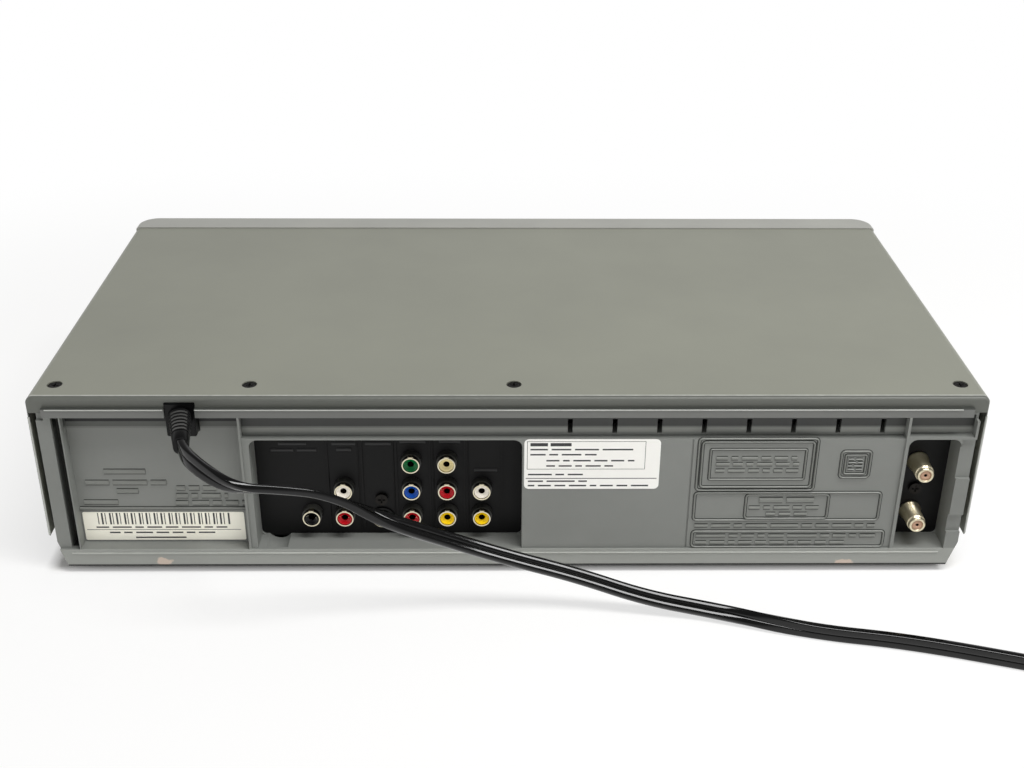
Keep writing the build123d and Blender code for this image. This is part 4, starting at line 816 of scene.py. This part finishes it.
def new_tree(name, **inputs):
    """An empty geometry tree with a mesh in, a mesh out and named inputs of the socket kinds given."""
    tree = bpy.data.node_groups.new(name, "GeometryNodeTree")
    tree.interface.new_socket("Geometry", in_out="INPUT", socket_type="NodeSocketGeometry")
    for label, kind in inputs.items():
        tree.interface.new_socket(label, in_out="INPUT", socket_type=kind)
    tree.interface.new_socket("Geometry", in_out="OUTPUT", socket_type="NodeSocketGeometry")
    return tree, add(tree, "NodeGroupInput").outputs


def run_tree(name, tree, base, **inputs):
    """The plain mesh that a tree makes of a base mesh, as a new object."""
    obj = link_object(name, base)
    grow = obj.modifiers.new("grow", "NODES")
    grow.node_group = tree
    for item in tree.interface.items_tree:
        if item.in_out == "INPUT" and item.name in inputs:
            grow[item.identifier] = inputs[item.name]
    bpy.context.view_layer.update()
    done = bpy.data.meshes.new_from_object(obj.evaluated_get(bpy.context.evaluated_depsgraph_get()))
    done.name = name
    obj.modifiers.remove(grow)
    obj.data = done
    bpy.data.meshes.remove(base)
    return obj


bead_tree, given = new_tree(
    "bead",
    Width="NodeSocketFloat",
    Height="NodeSocketFloat",
    Corner="NodeSocketFloat",
    Finish="NodeSocketMaterial",
)
lines = add(bead_tree, "GeometryNodeMeshToCurve", {"Mesh": given["Geometry"]})
bent = add(
    bead_tree,
    "GeometryNodeFilletCurve",
    {"Curve": lines.outputs[0], "Radius": given["Corner"], "Limit Radius": True, "Count": 5},
    mode="POLY",
)
upright = add(bead_tree, "GeometryNodeSetCurveNormal", {"Curve": bent.outputs[0]}, mode="Z_UP")
across_flats = 1 / math.cos(math.pi / 8)
ring = add(bead_tree, "GeometryNodeCurvePrimitiveCircle", {"Resolution": 8, "Radius": 0.5 * across_flats})
eighth = (0, 0, math.pi / 8)
facing = add(bead_tree, "GeometryNodeTransform", {"Geometry": ring.outputs[0], "Rotation": eighth})
flat = add(bead_tree, "ShaderNodeCombineXYZ", {"X": given["Width"], "Y": given["Height"], "Z": 1.0})
outline = add(bead_tree, "GeometryNodeTransform", {"Geometry": facing.outputs[0], "Scale": flat.outputs[0]})
swept = add(
    bead_tree,
    "GeometryNodeCurveToMesh",
    {"Curve": upright.outputs[0], "Profile Curve": outline.outputs[0], "Fill Caps": True},
)
edged = add(bead_tree, "GeometryNodeSetShadeSmooth", {"Geometry": swept.outputs[0], "Shade Smooth": False})
real = add(bead_tree, "GeometryNodeRealizeInstances", {"Geometry": edged.outputs[0]})
dressed = add(
    bead_tree, "GeometryNodeSetMaterial", {"Geometry": real.outputs[0], "Material": given["Finish"]}
)
add(bead_tree, "NodeGroupOutput", {"Geometry": dressed.outputs[0]})
print("bead tree", len(bead_tree.nodes), "nodes")

behind = Matrix(((-1, 0, 0, 0), (0, 0, 1, 0), (0, 1, 0, 0), (0, 0, 0, 1)))
ahead = Matrix(((1, 0, 0, 0), (0, 0, -1, 0), (0, 1, 0, 0), (0, 0, 0, 1)))


def line_mesh_of(lines, closed, stand):
    """Lines of x and z in millimetres, laid flat as the eye sees the rear or the front."""
    sign = -1 if stand is behind else 1
    points, edges = [], []
    for line in lines:
        first = len(points)
        points += [(sign * x * MM, z * MM, 0.0) for x, z in line]
        edges += [(first + k, first + k + 1) for k in range(len(line) - 1)]
        if closed:
            edges.append((len(points) - 1, first))
    mesh = bpy.data.meshes.new("lines")
    mesh.from_pydata(points, edges, [])
    return mesh


# Painted shade in the corner at the foot of a bead: the same grey, darker and duller.
finishes["bead_foot_shade"] = start_finish(
    "moulded_abs_grey_painted_shade", "#363835", "#30322F", 0.7, patch=8.0, grain=1.0, depth=0.05
)
# Black ABS of the raised words: a little greyer than the insert, a painted sheen, and a little shinier.
finishes["rubbed_black"] = start_finish(
    "moulded_abs_black_painted_sheen", "#141414", "#181818", 0.42, patch=5.0, grain=0.9
)
# The panel's grey where hands and cloths have rubbed the top of a bead: smoother.
finishes["bead_top"] = start_finish(
    "moulded_abs_grey_rubbed", "#7E807B", "#787A75", 0.45, patch=8.0, grain=1.0, depth=0.03
)
# The same grey, pale: a painted highlight on an edge that catches the light.
finishes["edge_highlight"] = start_finish(
    "moulded_abs_grey_painted_highlight", "#B4B6B0", "#A8AAA4", 0.4, patch=8.0, grain=1.0, depth=0.03
)
slot_of = {name: "grey_moulding" for name in ("bead_foot_shade", "bead_top", "edge_highlight", "label_ink")}
slot_of.update(rubbed_black="black_moulding", display_ink="smoked_window")


def bead(
    name, lines, y, width, height, corner=0.0, closed=False, finish="grey_moulding", stand=behind, body="case"
):
    """Raised beads on a face of the rear or the front, as one piece of a body."""
    piece = run_tree(
        name,
        bead_tree,
        line_mesh_of(lines, closed, stand),
        Width=width * MM,
        Height=2 * height * MM,
        Corner=corner * MM,
        Finish=finishes[finish],
    )
    piece.data.transform(Matrix.Translation((0, y * MM, 0)) @ stand)
    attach(piece, body)
    print(name, len(piece.data.polygons), "faces")
    return piece


foot_wider, foot_high = 0.9, 0.05


def moulded(name, lines, y, width, height, **shape):
    """Beads of the panel's own plastic, with painted shade in the corner at their foot."""
    bead(f"{name}_foot", lines, y, width + foot_wider, foot_high, finish="bead_foot_shade", **shape)
    bead(name, lines, y, width, height, finish="bead_top", **shape)


def box_line(x0, x1, z0, z1):
    """The four corners of a frame."""
    return [(x0, z0), (x1, z0), (x1, z1), (x0, z1)]


def dashes(x0, x1, z, steps=(5.2, 3.1, 7.4, 4.3, 6.1, 2.6, 8.0), gap=1.7, least=1.2):
    """A row of dashes between two places, with lengths that take turns."""
    row, here, turn = [], max(x0, x1), 0
    while here > min(x0, x1) + least:
        there = max(here - steps[turn % len(steps)], min(x0, x1))
        row.append([(here, z), (there, z)])
        here, turn = there - gap, turn + 1
    return row


def rows_of(*rows):
    """The lines of several rows of dashes, each given by its ends, its height and its steps."""
    return [line for row in rows for line in dashes(*row)]


# %% [markdown]
# The frames and rows stand on the raised face, on the floor of the recess, and on the black inserts beside
# the jacks, each at its own depth. Painted highlights are beads too: a pale line on the foot rail, on the
# ledge and on the hems of the cover's side walls. Places are x and z in the frame.

# %% Beads of the rear panel
y_face = 115.0
y_label = 109.0
y_insert = 102.0
y_rail = 116.0
y_hem = 113.5
panel_frames = [
    box_line(-86.9, -141.5, 45.5, 73.0),
    box_line(-88.6, -139.9, 47.2, 71.3),
    box_line(-153.0, -166.5, 52.3, 66.3),
    box_line(-86.7, -173.8, 28.9, 44.0),
    box_line(-110.8, -149.5, 29.8, 42.9),
    box_line(-86.8, -177.8, 13.9, 22.6),
]
moulded("panel_frames", panel_frames, y_face, 0.8, 0.7, corner=1.6, closed=True)
inner_frames = [box_line(-92.5, -136.5, 51.3, 67.3), box_line(-155.0, -164.5, 54.3, 64.3)]
moulded("inner_frame", inner_frames, y_face, 0.7, 0.6, corner=0.6, closed=True)
panel_rows = rows_of(
    (-95.3, -133.7, 62.6),
    (-95.3, -133.7, 59.4, (6.2, 4.4, 3.2, 7.1)),
    (-95.3, -133.7, 55.9, (4.1, 7.7, 5.0, 3.3)),
    (-112.4, -148.0, 35.7),
    (-120.8, -140.0, 32.2, (4.4, 5.4, 6.6)),
    (-87.6, -173.0, 25.7, (6.2, 9.0, 4.0, 10.0, 13.0, 5.0)),
    (-88.6, -175.8, 20.0, (14.0, 4.2, 6.1, 3.3, 7.4)),
    (-88.6, -160.0, 16.2, (5.2, 7.0, 3.1, 6.4)),
)
moulded("panel_rows", panel_rows, y_face, 1.5, 0.6)
seal_steps = {62.0: (2.4, 3.0), 60.2: (3.4, 2.2), 58.4: (1.8, 3.8), 56.6: (2.8, 2.8)}
seal_rows = rows_of(*[(-156.4, -163.0, z, steps, 1.0) for z, steps in seal_steps.items()])
moulded("seal_rows", seal_rows, y_face, 0.8, 0.5)
moulded("panel_heading", dashes(-117.0, -143.0, 39.9, (11.0, 13.0)), y_face, 2.6, 0.6)
side_rows = rows_of(
    (188.6, 169.1, 52.2, (19.5,)),
    (197.8, 160.1, 46.2, (11.0, 16.0, 8.0)),
    (183.7, 173.7, 41.6, (10.0,)),
    (199.9, 183.9, 35.4, (16.0,)),
    (155.7, 137.3, 43.1, (4.0, 5.0, 6.0)),
    (156.2, 132.1, 38.9, (5.4, 3.0, 9.0)),
    (156.9, 123.8, 35.0, (6.0, 8.0, 4.4)),
)
moulded("side_rows", side_rows, y_label, 2.2, 0.7)
moulded("side_ridge", [[(202.2, 32.0), (123.2, 32.0)]], y_label, 1.4, 0.7)
# The next three are painted highlights: the edge of the foot rail, the edge of the ledge and the hems of the
# walls.
bead("rail_edge", [[(207.0, 11.2), (-205.0, 11.2)]], y_rail, 0.7, 0.35, finish="edge_highlight")
ledge_lines = [[(208.6, 88.3), (155.6, 88.3)], [(141.4, 88.3), (-205.0, 88.3)]]
bead("ledge_edge", ledge_lines, y_rail, 0.6, 0.3, finish="edge_highlight")
bead("wall_hems", [[(x, 20.4), (x, 83.6)] for x in (217.0, -217.0)], y_hem, 0.9, 0.5, finish="edge_highlight")
jack_rows = rows_of(
    (107.8, 94.1, 63.0, (13.0,)),
    (111.5, 89.5, 59.6, (10.5, 9.0)),
    (82.9, 71.9, 63.0, (11.0,)),
    (80.9, 74.0, 59.8, (7.0,)),
    (67.4, 55.4, 63.0, (12.0,)),
    (51.2, 39.2, 64.0, (12.0,)),
    (32.8, 22.9, 64.0, (10.0,)),
    (16.5, 5.6, 48.6, (11.0,)),
    (-188.0, -198.0, 66.0, (4.0, 5.0)),
)
bead("jack_rows", jack_rows, y_insert, 1.7, 0.5, finish="rubbed_black")
ridge_lines = [[(x, 16.0), (x, 66.5)] for x in (85.2, 71.0, 54.4, 35.6, 19.2)]
bead("insert_ridges", ridge_lines, y_insert, 0.7, 0.25, finish="black_moulding")

# %% [markdown]
# Two paper labels are stuck on the plastic: a white one on the raised face, and a long one in the recess.
# Each is a thin sheet with rounded corners that stands proud by its own thickness. Print could be a texture,
# but plain bars and rules of ink are so few that thin beads draw them, sharp from any distance.

# %% Paper labels
label_thick = 0.15
# Coated paper: a clean soft white that shines a little.
finishes["paper_label"] = start_finish(
    "coated_paper_white", "#F9F8F3", "#F4F3EE", 0.36, patch=25.0, grain=1.5, depth=0.006
)
# Coated paper, yellowed by age: a warm white.
finishes["cream_label"] = start_finish(
    "coated_paper_cream", "#FFFDF0", "#FDFAEA", 0.36, patch=25.0, grain=1.5, depth=0.006
)
# Printed ink: dark grey, a little duller than its paper.
finishes["label_ink"] = start_finish(
    "printed_ink_grey", "#2A2A2B", "#363638", 0.4, patch=6.0, grain=1.0, depth=0.004
)


def paper_label(name, x0, x1, z0, z1, y, corner, finish):
    """A thin sheet with rounded corners on a face of the rear panel."""
    outline = rounded_ring(abs(x1 - x0), abs(z1 - z0), corner)
    middle = Vector(((x0 + x1) / 2, 0, (z0 + z1) / 2))
    levels = [[(middle + Vector((a, y + rise, b))) * MM for a, b in outline] for rise in (0.0, label_thick)]
    sheet = loft_rings(name, levels)
    sheet.data.shade_flat()
    sheet.data.materials.append(finishes[finish])
    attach(sheet, "case")


paper_label("white_label", -6.8, -69.3, 46.2, 72.7, y_face, 2.2, "paper_label")
paper_label("long_label", 201.7, 125.5, 14.2, 29.9, y_label, 0.8, "cream_label")
y_print = y_face + label_thick
y_long_print = y_label + label_thick
ink_high = 0.02
label_rows = rows_of(
    (-9.6, -58.0, 67.3, (8.0, 9.0, 11.0, 14.0)),
    (-9.6, -40.0, 64.6, (7.0, 4.0, 9.0)),
    (-17.0, -58.0, 61.4, (6.0, 3.0, 8.0, 6.0)),
    (-17.0, -50.0, 58.6, (4.0, 6.0, 3.0, 7.0)),
    (-8.6, -34.0, 54.0, (11.0, 4.0)),
    (-8.6, -36.0, 50.4, (7.0, 13.0)),
    (-8.6, -66.0, 48.0, (3.0, 6.0, 5.0, 8.0)),
    (196.0, 134.0, 21.4, (6.0, 9.0, 4.0, 7.0)),
    (190.0, 140.0, 18.4, (5.0, 4.0, 8.0, 6.0)),
    (178.0, 152.0, 15.6, (24.0,)),
)
label_bars = bead("label_bars", label_rows, y_print, 0.8, ink_high, finish="label_ink")
for vertex in label_bars.data.vertices:
    if vertex.co.x > 0:  # the rows of the long label lie deeper, in the recess
        vertex.co.y += (y_label - y_face) * MM
heading = dashes(-9.6, -30.0, 69.9, (8.0, 9.6), 1.2)
bead("label_heading", heading, y_print, 1.7, ink_high, finish="label_ink")
bead("label_rules", [[(-7.6, 51.9), (-68.2, 51.9)]], y_print, 0.4, ink_high, finish="label_ink")
bead("long_rule", [[(200.6, 20.0), (127.6, 20.0)]], y_long_print, 0.3, ink_high, finish="label_ink")
frame_line = box_line(-8.2, -62.4, 56.9, 71.5)
bead("label_frame", [frame_line], y_print, 0.35, ink_high, closed=True, finish="label_ink")
bar_steps = (1.3, 1.9, 1.5, 2.3)
bars_start, bars_end = 194.5, 134.0
bar_foot, bar_top = 23.0, 29.4
bar_places = [bars_start]
while bar_places[-1] > bars_end:
    bar_places.append(bar_places[-1] - bar_steps[len(bar_places) % len(bar_steps)])
bar_lines = [[(x, bar_foot), (x, bar_top)] for x in bar_places]
bead("thin_bars", bar_lines[0::2], y_long_print, 0.45, ink_high, finish="label_ink")
bead("thick_bars", bar_lines[1::2], y_long_print, 0.85, ink_high, finish="label_ink")

# %% [markdown]
# A phono jack is a plated ring with a coloured plastic funnel inside it, which leads the plug's pin to the
# middle contact. The funnel is turned about its axis once. A node tree then sets a copy at every jack, and
# each point carries its jack's colour, which the copies keep as an attribute for the material to read.

# %% Phono funnels
y_rear_funnels, y_front_funnels = 108.1, -115.9
jack_colours = {
    "black": "#060607",
    "white": "#FAF3E6",
    "cream": "#EFDFA6",
    "red": "#B40A18",
    "green": "#046A36",
    "blue": "#0A49A6",
    "yellow": "#FBD00C",
}
rear_jacks = [
    (93.9, 25.1, "black"),
    (78.1, 39.8, "white"),
    (78.1, 25.1, "red"),
    (46.0, 54.5, "green"),
    (46.0, 39.8, "blue"),
    (46.0, 25.1, "red"),
    (29.3, 54.5, "cream"),
    (29.3, 39.8, "red"),
    (29.3, 25.1, "yellow"),
    (12.9, 39.8, "white"),
    (12.9, 25.1, "yellow"),
]
front_jacks = [(-196.0, 17.5, "yellow"), (-180.0, 17.5, "white"), (-164.0, 17.5, "red")]


def turned(name, profile, steps=32):
    """A closed body turned about the Z axis from pairs of radius and height in millimetres."""
    build = bmesh.new()
    rows = []
    for radius, height in profile:
        if radius == 0:
            rows.append([build.verts.new((0, 0, height * MM))])
            continue
        turns = [2 * math.pi * k / steps for k in range(steps)]
        spots = [(radius * MM * math.cos(a), radius * MM * math.sin(a), height * MM) for a in turns]
        rows.append([build.verts.new(spot) for spot in spots])
    for low, high in zip(rows, rows[1:]):
        for k in range(steps):
            n = (k + 1) % steps
            if len(low) == 1:
                build.faces.new((low[0], high[n], high[k]))
            elif len(high) == 1:
                build.faces.new((low[k], low[n], high[0]))
            else:
                build.faces.new((low[k], low[n], high[n], high[k]))
    return mesh_from(name, build)


funnel_bore, bore_mouth = 1.5, -1.7
funnel_profile = [  # radius and height
    (0, -8.0),
    (3.5, -8.0),
    (3.5, -0.5),
    (3.35, -0.25),
    (3.15, -0.3),
    (2.7, -0.75),
    (2.2, -1.15),
    (1.75, -1.4),
    (funnel_bore, -1.55),
    (funnel_bore, bore_mouth),
    (funnel_bore, -7.0),
    (0, -7.0),
]
bore_slack = 0.05


def mark_bore(mesh, radius, height):
    """An attribute that is 1 down the bore of a turned body, so that its material can paint shade there."""
    bore = mesh.attributes.new("bore", "FLOAT", "POINT")
    for vertex, item in zip(mesh.vertices, bore.data):
        near = math.hypot(vertex.co.x, vertex.co.y) < (radius + bore_slack) * MM
        item.value = 1.0 if near and vertex.co.z < (height + bore_slack) * MM else 0.0
    return mesh


funnel = link_object("funnel", mark_bore(turned("funnel", funnel_profile), funnel_bore, bore_mouth))
copy_tree, given = new_tree("copy_at_points", Piece="NodeSocketObject", Finish="NodeSocketMaterial")
source = add(copy_tree, "GeometryNodeObjectInfo", {"Object": given["Piece"]})
copies = add(
    copy_tree,
    "GeometryNodeInstanceOnPoints",
    {"Points": given["Geometry"], "Instance": source.outputs["Geometry"]},
)
real = add(copy_tree, "GeometryNodeRealizeInstances", {"Geometry": copies.outputs[0]})
dressed = add(
    copy_tree, "GeometryNodeSetMaterial", {"Geometry": real.outputs[0], "Material": given["Finish"]}
)
add(copy_tree, "NodeGroupOutput", {"Geometry": dressed.outputs[0]})

# Polystyrene, moulded in its colour: glossy, even and bright.
finishes["funnel"] = start_finish(
    "moulded_styrene_coloured", "#FFFFFF", "#F6F6F6", 0.2, patch=4.0, grain=1.0, depth=0.01, shine=0.25
)
tree = finishes["funnel"].node_tree
skin = next(node for node in tree.nodes if node.type == "BSDF_PRINCIPLED")
tint = add(tree, "ShaderNodeAttribute", attribute_name="jack_colour")
tree.links.new(tint.outputs["Color"], skin.inputs["Base Color"])


def paint_shade_in_bore(material, colour):
    """Painted shade down the bore of a turned body."""
    bore = add(material.node_tree, "ShaderNodeAttribute", attribute_name="bore")
    stain_or_painted_light(material, bore.outputs["Fac"], colour)


def copies_at(name, template, spots, y, finish, stand=behind, colours=()):
    """Copies of a template at spots of x and z on the rear or the front, as one piece of the case."""
    sign = -1 if stand is behind else 1
    base = bpy.data.meshes.new("spots")
    base.from_pydata([(sign * x * MM, z * MM, 0) for x, z in spots], [], [])
    if colours:
        tints = base.attributes.new("jack_colour", "FLOAT_COLOR", "POINT")
        for item, colour in zip(tints.data, colours):
            item.color = paint(jack_colours[colour])
    piece = run_tree(name, copy_tree, base, Piece=template, Finish=finishes[finish])
    piece.data.transform(Matrix.Translation((0, y * MM, 0)) @ stand)
    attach(piece, "case")
    print(name, len(piece.data.polygons), "faces")
    return piece


def funnels(name, jacks, y, stand):
    """Coloured funnels at the jacks of one side, with their mouths at that depth."""
    spots = [(x, z) for x, z, colour in jacks]
    colours = [colour for x, z, colour in jacks]
    return copies_at(name, funnel, spots, y, "funnel", stand, colours)


# The bores are painted dark brown: painted shade deep in the hole, over the brown of the contact inside.
paint_shade_in_bore(finishes["funnel"], "#1A120A")
rear_funnels = funnels("rear_funnels", rear_jacks, y_rear_funnels, behind)
funnels("front_funnels", front_jacks, y_front_funnels, ahead)
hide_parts("phono_cores")
bpy.data.objects.remove(funnel)

# %% [markdown]
# An aerial socket is a plated barrel that is stepped down near its tip. Inside is a pale insulator with a
# small hole for the wire. Both are turned, and set at the two sockets by the same tree.

# %% Aerial sockets
aerial_spots = [(-193.1, 26.1), (-193.1, 53.4)]
y_aerial = 116.0
wire_bore, wire_mouth = 0.75, -0.8
barrel_profile = [
    (0, -14.0),
    (5.2, -14.0),
    (5.2, -12.8),
    (4.35, -12.6),
    (4.35, -2.5),
    (4.2, -2.3),
    (3.85, -2.2),
    (3.85, -0.5),
    (3.55, 0.0),
    (2.85, 0.0),
    (2.65, -0.2),
    (2.65, -3.0),
    (0, -3.0),
]
insulator_profile = [
    (0, -3.2),
    (2.6, -3.2),
    (2.6, -0.6),
    (2.45, -0.4),
    (1.0, -0.4),
    (wire_bore, -0.6),
    (wire_bore, wire_mouth),
    (wire_bore, -2.9),
    (0, -2.9),
]
# Polyethylene of the insulator: pinkish and waxy.
finishes["insulator"] = start_finish(
    "moulded_polyethylene_pink", "#C09A80", "#B68F75", 0.45, patch=3.0, grain=0.8
)
# The wire hole is painted near black: painted shade.
paint_shade_in_bore(finishes["insulator"], "#0C0A08")
# Nickel plate, aged: a dull gold.
finishes["barrel"] = start_finish(
    "nickel_plate_aged", "#EBE1C6", "#DED3B4", 0.33, 1.0, patch=4.0, grain=0.6, depth=0.006
)
for name, profile, finish in (
    ("aerial_barrels", barrel_profile, "barrel"),
    ("aerial_insulators", insulator_profile, "insulator"),
):
    template = link_object("template", mark_bore(turned("template", profile), wire_bore, wire_mouth))
    piece = copies_at(name, template, aerial_spots, y_aerial, finish)
    if name == "aerial_barrels":
        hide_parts("aerial_sockets")
    bpy.data.objects.remove(template)

# %% [markdown]
# The round video socket has a thin metal shield let into its face. It is an open arc, so it is a bead too.

# %% Shield of the round socket
din_x, din_z = 60.6, 22.0
shield_radius = 4.6
y_shield = 103.0
arc = [math.radians(a) for a in range(130, 411, 10)]
shield = [(din_x + shield_radius * math.cos(a), din_z + shield_radius * math.sin(a)) for a in arc]
bead("din_shield", [shield], y_shield, 0.5, 0.5, finish="nickel")

# %% [markdown]
# Each plated ring of a phono jack is held by a small tab bent down over its top, which catches the light.
# The tab is a short plate with softened edges, copied to the jacks by the same tree as the funnels.

# %% Tabs of the phono rings
tab_wide, tab_long, tab_thick = 2.3, 2.6, 0.45
tab_round = 0.12
tab_rise = 4.3
y_tab = 106.9
build = bmesh.new()
bmesh.ops.create_cube(build, size=1.0)
bmesh.ops.scale(build, vec=(tab_wide * MM, tab_thick * MM, tab_long * MM), verts=build.verts)
bmesh.ops.bevel(build, geom=build.edges[:], offset=tab_round * MM, segments=2, affect="EDGES")
tab = link_object("tab", mesh_from("tab", build, smooth=False))
tab_spots = [(x, z + tab_rise) for x, z, colour in rear_jacks]
copies_at("ring_tabs", tab, tab_spots, y_tab, "nickel")
bpy.data.objects.remove(tab)

# %% [markdown]
# The push buttons at the front carry the usual signs of a player: play, wind, stop, open, record, up and
# down. Each is a thin plate of ink on its button and rides with it when the button is pressed.

# %% Signs on the buttons
sign_thick, sign_sink = 0.25, 0.05
dot_radius, ring_outer, ring_inner = 1.6, 2.6, 2.0
pair_half, beside, lift = 1.5, 2.6, 0.2
y_button = -116.0
button_z = 36.0
right_arrow = [(-1.3, -1.7), (1.6, 0.0), (-1.3, 1.7)]
left_arrow = [(1.3, -1.7), (1.3, 1.7), (-1.6, 0.0)]
up_arrow = [(-1.9, -0.6), (1.9, -0.6), (0.0, 1.8)]
down_arrow = [(-1.9, 1.2), (0.0, -1.4), (1.9, 1.2)]
square = [(-1.4, -1.4), (1.4, -1.4), (1.4, 1.4), (-1.4, 1.4)]
under_bar = [(-1.9, -1.8), (1.9, -1.8), (1.9, -1.1), (-1.9, -1.1)]
dot_turns = [k * math.pi / 12 for k in range(24)]
dot = [(dot_radius * math.cos(a), dot_radius * math.sin(a)) for a in dot_turns]
stroke = [(-0.3, 0.9), (0.3, 0.9), (0.3, 3.4), (-0.3, 3.4)]
turns = [math.radians(130 + 280 * k / 24) for k in range(25)]
open_ring = [(ring_outer * math.cos(a), ring_outer * math.sin(a)) for a in turns]
open_ring += [(ring_inner * math.cos(a), ring_inner * math.sin(a)) for a in reversed(turns)]


def moved(shape, across, rise=0.0):
    """A sign's outline, moved on its button."""
    return [(a + across, b + rise) for a, b in shape]


signs = {
    "power_key": (-194.0, [open_ring, stroke]),
    "rewind_key": (-148.0, [moved(left_arrow, -pair_half), moved(left_arrow, pair_half)]),
    "play_key": (-128.0, [right_arrow]),
    "forward_key": (-108.0, [moved(right_arrow, -pair_half), moved(right_arrow, pair_half)]),
    "stop_eject_key": (
        -88.0,
        [moved(square, -beside), moved(up_arrow, beside, lift), moved(under_bar, beside, lift)],
    ),
    "record_key": (-68.0, [dot]),
    "channel_down_key": (-42.0, [down_arrow]),
    "channel_up_key": (-22.0, [up_arrow]),
    "disc_play_key": (140.0, [right_arrow]),
    "disc_open_key": (162.0, [moved(up_arrow, 0.0, lift), moved(under_bar, 0.0, lift)]),
}
for body, (x, shapes) in signs.items():
    build = bmesh.new()
    for shape in shapes:
        flats = [
            [build.verts.new((Vector((x + a, y_button - rise, button_z + b))) * MM) for a, b in shape]
            for rise in (-sign_sink, sign_thick)
        ]
        build.faces.new(flats[0])
        build.faces.new(list(reversed(flats[1])))
        bridge(build, flats[0], flats[1])
    mesh = mesh_from(f"{body}_sign", build, smooth=False)
    mesh.materials.append(finishes["label_ink"])
    sign = link_object(f"{body}_sign", mesh)
    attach(sign, body)
print(len(signs), "signs")

# %% [markdown]
# The front is the plainer side. Thin beads rim the door and the window, the tray and the door carry a grip
# line, and the dark window shows the unlit segments of a clock behind it. They are beads too, stood up on the
# front, and those on the door and the tray ride with them.

# %% Beads of the front
y_front = -114.8
y_door = -112.7
y_window = -114.6
# Unlit segments of a fluorescent display: a dim grey-green behind the smoked window.
finishes["display_ink"] = start_finish(
    "unlit_phosphor", "#2B3A37", "#324340", 0.5, patch=3.0, grain=0.8, depth=0.002
)
rim_lines = [box_line(-206.6, -5.4, 51.9, 83.6), box_line(-3.2, 115.2, 20.8, 50.2)]
bead("front_rims", rim_lines, y_front, 0.9, 0.3, 1.2, closed=True, finish="silver_front", stand=ahead)
door_line = [(-150.0, 56.6), (-62.0, 56.6)]
bead("door_grip", [door_line], y_door, 1.4, 0.4, finish="black_gloss", stand=ahead, body="door")
tray_line = [(36.0, 62.8), (154.0, 62.8)]
bead("tray_grip", [tray_line], y_front, 1.0, 0.3, finish="silver_front", stand=ahead, body="tray")
segment_long, segment_wide, segment_high = 5.0, 0.9, 0.05
segment_gap, segment_inset = 0.5, 0.8
segment_rows = (30.0, 36.0, 42.0)
colon_half = 0.4
segments = []
for x in (26.0, 36.0, 50.0, 60.0, 74.0, 84.0):
    for z in segment_rows:
        segments.append([(x - segment_long / 2, z), (x + segment_long / 2, z)])
    for side in (-1, 1):
        edge = x + side * (segment_long / 2 + segment_gap)
        for low, high in zip(segment_rows, segment_rows[1:]):
            segments.append([(edge, low + segment_inset), (edge, high - segment_inset)])
for x in (43.0, 67.0):
    segments += [[(x - colon_half, z), (x + colon_half, z)] for z in (33.4, 38.6)]
bead("window_segments", segments, y_window, segment_wide, segment_high, finish="display_ink", stand=ahead)
print("front", len(segments), "segments")

# %% [markdown]
# Last, the box that the dressed part fills is printed.

# %% Size and finish
low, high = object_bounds()
print("dressed box", [round(v, 3) for v in (*low, *high)])
